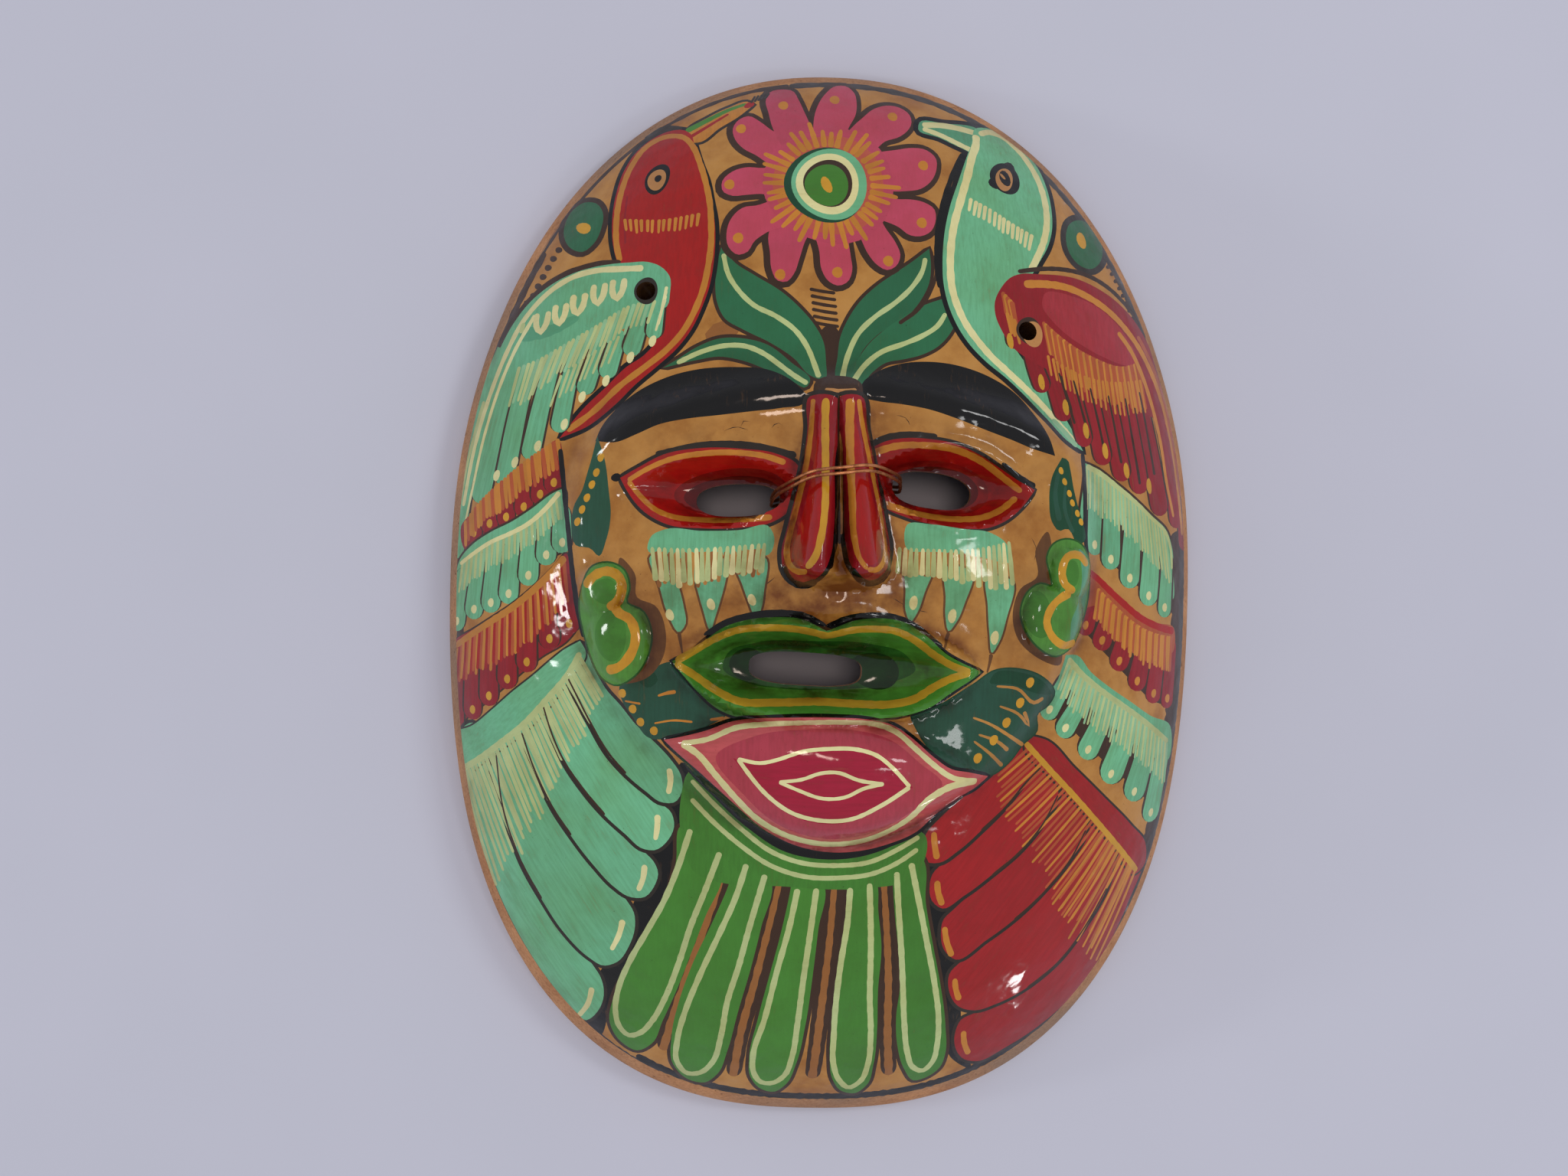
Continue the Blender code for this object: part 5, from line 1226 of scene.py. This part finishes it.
# the mask as one closed skin: painted front, rim, walls of the holes, and the hollow
def makeMask():
    front, triangles, highest = makeFront()
    print("front net:", len(front), "points,", len(triangles), "triangles")
    outer, *holeLoops = [np.array(loop) for loop in openEdges(triangles)]
    points, faces, kinds = [front], [triangles], [highest]

    # joins two loops of the same length with quads, as two triangles each
    def join(first, second, kind):
        a, b, c, d = first, np.roll(first, -1), np.roll(second, -1), second
        faces.append(np.vstack([np.column_stack([b, a, d]), np.column_stack([b, d, c])]))
        kinds.append(np.full(2 * len(first), kind))

    def addPoints(more):
        start = sum(len(p) for p in points)
        points.append(more)
        return np.arange(start, start + len(more))

    # side and foot of the rim, then up into the hollow: the inset and height of each ring
    flatOuter = front[outer][:, :2]
    rim, foot = outer, clay["rimRound"]
    profile = [(0.0, clay["sideFoot"])]
    turns = np.radians((0, 22, 45, 68, 90))
    profile += [(foot * (1.0 - math.cos(a)), foot * (1.0 - math.sin(a))) for a in turns]
    profile += [*clay["footEdge"], (clay["rimWall"], clay["hollowLip"])]
    for inset, height in profile:
        ring = toOutline(flatOuter, inset) if inset else flatOuter
        level = addPoints(np.column_stack([ring, np.full(len(ring), height)]))
        join(rim, level, rimKind)
        rim = level
    hollowRim = points[-1][:, :2]
    # walls of the holes; the cord holes, the only ones far up the mask, are poked square to the dome
    ends, levels = [], []
    for level in holeLoops:
        start = front[level]
        middle = start[:, :2].mean(axis=0)
        isCord = abs(middle[1]) > face["browMiddle"]
        end = start[:, :2] + (frontSlope(*middle) * face["cordHoleLean"] if isCord else 0.0)
        deep = hollowHeight(end[:, 0], end[:, 1])
        kind = cordKind if isCord else (slotKind if middle[1] < 0 else eyeKind)
        for share in net["wallSteps"]:
            flatHere = start[:, :2] + (end - start[:, :2]) * share
            following = addPoints(np.column_stack([flatHere, start[:, 2] + (deep - start[:, 2]) * share]))
            join(level, following, kind if share < net["paintedWall"] or isCord else rimKind)
            level = following
        ends.append(end)
        levels.append(level)
    # the hollow: its own net, upside down, sewn to the rim and the holes
    outlines = [counterClockwise(outline) for outline in [hollowRim] + ends]
    loose = [gridPoints(net["hollowCell"], clay["rimWall"] + net["hollowInset"])]
    loose += [toOutline(hollowRim[::2], clay["rimWall"] + inset) for inset in net["hollowRings"]]
    flat, inner, highest = triangulate(outlines, np.vstack(loose), 1e-6)
    inner = inner[highest == 0]
    ids = addPoints(np.column_stack([flat, hollowHeight(flat[:, 0], flat[:, 1])]))
    # the net's outer points are the same as the strips' points: its triangles use those instead
    known, spots = np.concatenate([rim] + levels), spotOf(np.vstack([hollowRim] + ends))
    order = np.argsort(spots)
    at = np.clip(np.searchsorted(spots[order], spotOf(flat)), 0, len(order) - 1)
    match = spots[order][at] == spotOf(flat)
    ids = np.where(match, known[order[at]], ids)
    faces.append(ids[inner][:, ::-1])
    kinds.append(np.full(len(inner), hollowKind))
    print("hollow net:", len(inner), "triangles, sewn at", int(match.sum()), "of", len(known), "points")
    return np.vstack(points), np.vstack(faces), np.concatenate(kinds)


# sRGB hex to the linear values a shader works in
def linear(hexCode):
    value = np.array([int(hexCode[i:i + 2], 16) for i in (1, 3, 5)]) / 255.0
    return np.where(value <= 0.04045, value / 12.92, ((value + 0.055) / 1.055) ** 2.4)


def colourOf(hexCode):
    return (*linear(hexCode), 1.0)


def newObject(name, points, faces):
    mesh = bpy.data.meshes.new(name)
    mesh.from_pydata((points / 1000.0).tolist(), [], faces)
    mesh.polygons.foreach_set("use_smooth", np.full(len(faces), True))
    mesh.validate()
    mesh.update()
    made = bpy.data.objects.new(name, mesh)
    bpy.context.scene.collection.objects.link(made)
    return made


# how much brown lacquer has gathered at each point and how much painted shade it gets, from 0 to 1
def stainAndShadeAt(x, y):
    stainAndShade = np.zeros(len(x))
    ways = np.radians(range(0, 360, 45))
    # painted shade in hollows, with lacquer pooled there too: where the ground a few millimetres away is
    # higher than the point itself
    for reach, gain in ((2.5, 0.55), (6.0, 0.16)):
        around = sum(frontHeight(x + reach * math.cos(a), y + reach * math.sin(a)) for a in ways) / len(ways)
        stainAndShade = stainAndShade + gain * np.clip(around - frontHeight(x, y), 0.0, None)
    # painted shade, with some brown wash, under the nose, under the brows and beside the ears; then darker
    # along the rim
    stainAndShade = stainAndShade + 1.1 * bell((x + 3) / 26.0) * bell((y + 0.5) / 7.5)  # under the nose
    stainAndShade = stainAndShade + 0.3 * bell((np.abs(x) - 22) / 20.0) * bell((y - 31) / 5.0)  # under the brows
    stainAndShade = stainAndShade + 0.45 * bell((np.abs(x) - 42) / 10.0) * bell((y + 6) / 14.0)  # beside the ears
    stainAndShade = stainAndShade + 0.3 * smoothRamp(0.9, 1.0, maskRing(x, y))  # along the rim
    return np.clip(stainAndShade, 0.0, 1.0)


def addAttribute(mesh, name, kind, domain, field, values):
    mesh.attributes.new(name, kind, domain).data.foreach_set(field, values)


# hands the colour, brush direction and loading of each stroke to its triangles, and bare clay to the rest
def dressMask(mesh, points, kinds):
    tone = seeded.uniform(0.9, 1.08, len(painted))  # each stroke a little paler or darker, but not the ground
    tone[0] = 1.0
    isStroke = (kinds >= 1) & (kinds <= len(painted))
    strokeOf = np.where(isStroke, kinds - 1, 0)
    strokeColours = np.array([linear(paints[stroke[1]]) for stroke in painted]) * tone[:, None]
    grains = np.radians([stroke[2] for stroke in painted])
    streaks = np.array([stroke[3] for stroke in painted])
    colour = np.where(isStroke[:, None], strokeColours[strokeOf], linear("#c08c62"))
    for kind, paint in ((eyeKind, "red"), (slotKind, "grassDeep"), (cordKind, "umber")):
        colour[kinds == kind] = linear(paints[paint])
    colour = np.column_stack([colour, np.ones(len(colour))])
    addAttribute(mesh, "paintColour", "FLOAT_COLOR", "FACE", "color", colour.ravel())
    addAttribute(mesh, "brushTurn", "FLOAT", "FACE", "value", np.where(isStroke, grains[strokeOf], 0.0))
    addAttribute(mesh, "streaked", "FLOAT", "FACE", "value", np.where(isStroke, streaks[strokeOf], 0.0))
    # gathered lacquer and painted shade: high in hollows and under the nose and brows
    addAttribute(mesh, "stainAndShade", "FLOAT", "POINT", "value", stainAndShadeAt(points[:, 0], points[:, 1]))
    mesh.materials.append(lacqueredPaint())
    mesh.materials.append(rawClay())
    isPainted = isStroke | np.isin(kinds, (eyeKind, slotKind, cordKind))
    mesh.polygons.foreach_set("material_index", np.where(isPainted, 0, 1).astype(np.int32))
    mesh.set_sharp_from_angle(angle=math.radians(50))
    mesh.update()


# adds a node; a setting is a property, a value for an input, or the output to link to that input
def addNode(tree, kind, settings):
    node = tree.nodes.new("ShaderNode" + kind)
    for name, value in settings.items():
        if isinstance(value, bpy.types.NodeSocket):
            tree.links.new(value, node.inputs[name])
        elif isinstance(name, int) or name in node.inputs:
            node.inputs[name].default_value = value
        else:
            setattr(node, name, value)
    return node


def newMaterial(name, settings):
    material = bpy.data.materials.new(name)
    material.use_nodes = True
    tree = material.node_tree
    tree.nodes.clear()
    surface = addNode(tree, "BsdfPrincipled", settings)
    addNode(tree, "OutputMaterial", {"Surface": surface.outputs[0]})
    return material, tree, surface, {"place": addNode(tree, "TexCoord", {}).outputs["Object"]}


# follows a finish's recipe: its noises, the share of the surface that each layer covers, and then the
# layers of colour, one over the other; returns the colour
def layColours(tree, finish, fields, colour):
    for name, (place, size, detail, roughness) in finish["noises"].items():
        settings = {"Scale": 1000.0 / size, "Detail": detail, "Roughness": roughness, "Vector": fields[place]}
        fields[name] = addNode(tree, "TexNoise", settings).outputs["Fac"]
    for name, (field, low, high, most, others) in finish["shares"].items():
        settings = {"From Min": low, "From Max": high, "To Max": most, "Value": fields[field]}
        share = addNode(tree, "MapRange", settings).outputs[0]
        for other in others:
            share = addNode(tree, "Math", {"operation": "MULTIPLY", 0: share, 1: fields[other]}).outputs[0]
        fields[name] = share
    for blend, name, tint in finish["layers"]:
        settings = {"data_type": "RGBA", "blend_type": blend, 0: fields[name], 6: colour, 7: colourOf(tint)}
        colour = addNode(tree, "Mix", settings).outputs[2]
    return colour


# presses a finish's bumps, one over the other, and returns the surface after each
def pressBumps(tree, finish, fields):
    normals = []
    for strength, distance, invert, field in finish["bumps"]:
        settings = {"Strength": strength, "Distance": distance, "invert": invert, "Height": fields[field]}
        if normals:
            settings["Normal"] = normals[-1]
        normals.append(addNode(tree, "Bump", settings).outputs[0])
    return normals


# poster paint under a yellowed lacquer: streaks along each brush stroke, thin spots where clay shows, fine
# specks, brown where the lacquer gathered mixed with painted shade in hollows and under the nose and brows,
# washes on the bare ochre ground, and a wet gloss over slow waves
lacquer = dict(
    surface={"Roughness": 0.6, "Specular IOR Level": 0.05, "Coat Weight": 1.0, "Coat IOR": 1.38},
    sheen={"From Min": 0.3, "From Max": 0.7, "To Min": 0.05, "To Max": 0.13},
    drawn=(0.07, 1.0, 0.4),  # brush streaks are long and thin
    noises=dict(  # where it is read, size in mm, detail, roughness
        streaks=("drawn", 0.62, 3.0, 0.6), blotches=("place", 7.0, 4.0, 0.6),
        patches=("place", 22.0, 3.0, 0.5), specks=("place", 0.55, 2.0, 0.7),
        washes=("place", 11.0, 5.0, 0.62), waves=("place", 4.6, 1.6, 0.42)),
    shares=dict(  # field, where it starts and is full, its most, and what it is multiplied by
        along=("streaks", 0.40, 0.66, 1.0, ["streaked"]),
        blotched=("blotches", 0.50, 0.74, 1.0, []),
        worn=("streaks", 0.56, 0.74, 0.45, ["blotched", "streaked"]),
        patched=("patches", 0.40, 0.72, 1.0, []),
        clouded=("blotches", 0.42, 0.70, 1.0, []),
        ground=("streaked", 0.2, 0.05, 1.0, []),
        darkWash=("washes", 0.47, 0.66, 1.0, ["ground"]),
        paleWash=("washes", 0.46, 0.30, 1.0, ["ground"]),
        speckled=("specks", 0.70, 0.78, 1.0, []),
        # browner where lacquer gathered and where shade is painted
        gatheredAndShaded=("blotches", 0.28, 0.60, 1.0, ["stainAndShade"]),
        brushed=("streaks", 0.0, 1.0, 1.0, ["streaked"])),
    layers=(("MULTIPLY", "along", "#e7e7e2"), ("MIX", "worn", "#a9773e"), ("MULTIPLY", "patched", "#f6efdf"),
            ("MULTIPLY", "clouded", "#f3f1ec"), ("MULTIPLY", "darkWash", "#e2d4bc"),
            ("SCREEN", "paleWash", "#45351d"), ("MULTIPLY", "speckled", "#b3a290"),
            ("MULTIPLY", "gatheredAndShaded", "#a48461")),
    bumps=((0.6, 0.00045, False, "waves"), (0.25, 0.00005, False, "brushed"), (0.3, 0.00008, True, "specks")),
)


def lacqueredPaint():
    material, tree, surface, fields = newMaterial("lacquered_poster_paint_on_clay", lacquer["surface"])
    for name in ("brushTurn", "stainAndShade", "streaked"):
        fields[name] = addNode(tree, "Attribute", {"attribute_name": name}).outputs["Fac"]
    back = addNode(tree, "Math", {"operation": "MULTIPLY", 0: fields["brushTurn"], 1: -1.0}).outputs[0]
    settings = {"rotation_type": "Z_AXIS", "Vector": fields["place"], "Angle": back}
    turned = addNode(tree, "VectorRotate", settings).outputs[0]
    fields["drawn"] = addNode(tree, "Mapping", {"Scale": lacquer["drawn"], "Vector": turned}).outputs[0]
    strokeColour = addNode(tree, "Attribute", {"attribute_name": "paintColour"}).outputs["Color"]
    colour = layColours(tree, lacquer, fields, strokeColour)
    normals = pressBumps(tree, lacquer, fields)
    sheen = addNode(tree, "MapRange", {**lacquer["sheen"], "Value": fields["blotches"]}).outputs[0]
    tree.links.new(colour, surface.inputs["Base Color"])
    tree.links.new(sheen, surface.inputs["Coat Roughness"])
    tree.links.new(normals[-1], surface.inputs["Normal"])
    # the lacquer levels out over the brush marks, so its own surface only carries the slow waves
    tree.links.new(normals[0], surface.inputs["Coat Normal"])
    return material


# bare low-fired clay: matt, pink to grey-brown, with grit, dark pits and a smoky cast here and there
bareClay = dict(
    surface={"Roughness": 0.86, "Specular IOR Level": 0.3},
    noises=dict(
        grit=("place", 0.7, 4.0, 0.65), blotches=("place", 9.0, 4.0, 0.6), smoke=("place", 38.0, 2.0, 0.5),
        pits=("place", 1.1, 2.0, 0.6), uneven=("place", 3.0, 4.0, 0.6)),
    shares=dict(
        clouded=("blotches", 0.35, 0.65, 1.0, []), smoked=("smoke", 0.46, 0.66, 1.0, []),
        gritty=("grit", 0.38, 0.68, 1.0, []), pitted=("pits", 0.68, 0.74, 1.0, []),
        hollowed=("pits", 0.66, 0.76, 1.0, [])),
    layers=(("MIX", "clouded", "#b07c55"), ("MIX", "smoked", "#9a7c66"), ("MULTIPLY", "gritty", "#ddd7d1"),
            ("MULTIPLY", "pitted", "#a0958b")),
    bumps=((0.6, 0.0006, False, "uneven"), (0.5, 0.0002, False, "grit"), (0.8, 0.0002, True, "hollowed")),
)


def rawClay():
    material, tree, surface, fields = newMaterial("bare_fired_clay", bareClay["surface"])
    tree.links.new(layColours(tree, bareClay, fields, colourOf("#c99469")), surface.inputs["Base Color"])
    tree.links.new(pressBumps(tree, bareClay, fields)[-1], surface.inputs["Normal"])
    return material


points, faces, kinds = makeMask()
mask = newObject("PaintedMask", points, faces.tolist())
print("mask:", len(mask.data.vertices), "points,", len(mask.data.polygons), "triangles")
dressMask(mask.data, points, kinds)
print("mask painted")

# drawn copper wire gone brown: bright along the top of the curve, dull oxide in patches
copper = dict(
    surface={"Metallic": 1.0},
    noises=dict(patches=("place", 2.2, 3.0, 0.6)),
    shares=dict(oxidised=("patches", 0.40, 0.62, 1.0, []), dulled=("patches", -0.1, 1.3, 1.0, [])),
    layers=(("MIX", "oxidised", "#8a5234"),),
)


def agedCopper():
    material, tree, surface, fields = newMaterial("aged_copper_wire", copper["surface"])
    tree.links.new(layColours(tree, copper, fields, colourOf("#d08a5c")), surface.inputs["Base Color"])
    tree.links.new(fields["dulled"], surface.inputs["Roughness"])
    return material


# the wire, doubled round the bridge of the nose
wire = dict(radius=0.35, pitch=1.1, turns=1.95, bow=4.2, pastHole=1.8, overNose=1.2, behind=4.0,
            steps=260, sides=12, shake=0.18, shakes=7.0)  # slight bends left by the hand


# an egg-shaped loop, nearly two turns, climbing one pitch a turn; then a tube of twelve sides swept along it
def makeWire():
    left = face["leftEye"]["hole"][0] + face["leftEye"]["holeHalf"][0] - wire["pastHole"]
    right = face["rightEye"]["hole"][0] - face["rightEye"]["holeHalf"][0] + wire["pastHole"]
    low = face["leftEye"]["hole"][1]
    climb = face["rightEye"]["hole"][1] - low
    angle = 1.5 * math.pi + np.linspace(-1.0, 1.0, wire["steps"]) * wire["turns"] * math.pi
    across, sine = -np.cos(angle), np.sin(angle)
    x = (left + right) / 2 + (right - left) / 2 * across
    y = low + climb * (across + 1) / 2 + wire["bow"] * np.clip(sine, 0.0, None)
    holes = np.array([face["leftEye"]["hole"], face["rightEye"]["hole"]])
    side = (frontHeight(*holes.T) + hollowHeight(*holes.T)).mean() / 2
    top = frontHeight(x, y).max() + wire["overNose"] + wire["radius"]
    bottom = hollowHeight(x, y).min() - wire["behind"] - wire["radius"]
    z = side + np.where(sine > 0, (top - side) * sine, (side - bottom) * sine)
    y = y + wire["pitch"] * (angle / (2 * math.pi) - 0.75)
    middle = np.column_stack([x, y, z])
    middle[:, 1] += wire["shake"] * np.sin(angle * wire["shakes"])
    way = np.gradient(middle, axis=0)
    way = way / np.linalg.norm(way, axis=1)[:, None]
    sideways = np.cross(way, [0.0, 1.0, 0.0])
    sideways = sideways / np.linalg.norm(sideways, axis=1)[:, None]
    upward = np.cross(sideways, way)
    around = np.linspace(0.0, 2.0 * math.pi, wire["sides"], endpoint=False)[None, :, None]
    ring = np.cos(around) * sideways[:, None, :] + np.sin(around) * upward[:, None, :]
    tube = middle[:, None, :] + wire["radius"] * ring
    index = np.arange(wire["steps"] * wire["sides"]).reshape(wire["steps"], wire["sides"])
    a, b = index[:-1], index[1:]
    quads = np.stack([a, np.roll(a, -1, axis=1), np.roll(b, -1, axis=1), b], axis=-1).reshape(-1, 4)
    ends = [index[0][::-1].tolist(), index[-1].tolist()]
    made = newObject("NoseWire", tube.reshape(-1, 3), quads.tolist() + ends)
    made.data.materials.append(agedCopper())
    return made


noseWire = makeWire()
print("wire bent")

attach(mask, "root")
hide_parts("mask_shell")
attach(noseWire, "root")
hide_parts("hanging_wire")

# the stage: a plain pale floor, soft lamps, and the camera at the photograph's angle
stage = dict(
    floorHalf=1.6, floorColour="#c8cad8", floorShade="#c3c6d3", room="#e2e4ed", roomStrength=0.69,
    lookAt=(-8.6, 0.9, 0.0), distance=440.0, tilt=2.2, roll=1.2, lens=42.9,
    lamps=dict(
        key=dict(at=(-1.25, -0.02, 0.46), size=0.15, power=2.0),
        fill=dict(at=(0.80, 0.37, 1.05), size=0.24, power=2.6),
        front=dict(at=(0.90, -1.15, 0.08), size=0.11, power=0.9),
        side=dict(at=(0.62, -0.50, 1.05), size=0.16, power=1.0),
        top=dict(at=(-0.03, 0.02, 1.45), size=0.22, power=3.1, colour=(1.0, 0.80, 0.68)),
    ),
    lampsAim=(0.0, 0.0, 0.03),
)

# matt paper with the faintest clouding
paper = dict(surface={"Roughness": 0.9}, noises=dict(clouds=("place", 60.0, 2.0, 0.5)), shares={},
             layers=(("MIX", "clouds", stage["floorShade"]),))


def makeFloor():
    half = stage["floorHalf"]
    mesh = bpy.data.meshes.new("Floor")
    corners = [(-half, -half, 0), (half, -half, 0), (half, half, 0), (-half, half, 0)]
    mesh.from_pydata(corners, [], [(0, 1, 2, 3)])
    floor = bpy.data.objects.new("Floor", mesh)
    bpy.context.scene.collection.objects.link(floor)
    material, tree, surface, fields = newMaterial("pale_matt_paper", paper["surface"])
    colour = layColours(tree, paper, fields, colourOf(stage["floorColour"]))
    tree.links.new(colour, surface.inputs["Base Color"])
    mesh.materials.append(material)
    return floor


def makeLamp(name, at, size, power, colour=(1.0, 1.0, 1.0)):
    lamp = bpy.data.lights.new(name, "AREA")
    lamp.size, lamp.energy, lamp.color = size, power, colour
    made = bpy.data.objects.new(name, lamp)
    made.location = at
    made.rotation_euler = (Vector(stage["lampsAim"]) - Vector(at)).to_track_quat("-Z", "Y").to_euler()
    bpy.context.scene.collection.objects.link(made)
    return made


# the camera stands a little to the left of straight above and is turned by roll
def makeCamera():
    made = bpy.data.objects.new("Camera", bpy.data.cameras.new("Camera"))
    made.data.lens = stage["lens"]
    lean, spin = math.radians(stage["tilt"]), math.radians(stage["roll"])
    away = Vector((-math.sin(lean), 0.0, math.cos(lean)))
    made.location = Vector(stage["lookAt"]) / 1000.0 + away * stage["distance"] / 1000.0
    rightWay = Vector((0.0, 1.0, 0.0)).cross(away).normalized()
    upWay = away.cross(rightWay)
    turnedRight = rightWay * math.cos(spin) + upWay * math.sin(spin)
    turnedUp = upWay * math.cos(spin) - rightWay * math.sin(spin)
    made.rotation_euler = Matrix((turnedRight, turnedUp, away)).transposed().to_euler()
    bpy.context.scene.collection.objects.link(made)
    return made


makeFloor()
[makeLamp(name, **lamp) for name, lamp in stage["lamps"].items()]
bpy.context.scene.camera = makeCamera()
bpy.context.scene.view_settings.view_transform = "Standard"
world = bpy.data.worlds.new("SoftRoom")
world.use_nodes = True
background = world.node_tree.nodes["Background"]
background.inputs[0].default_value = colourOf(stage["room"])
background.inputs[1].default_value = stage["roomStrength"]
bpy.context.scene.world = world
print("stage set")
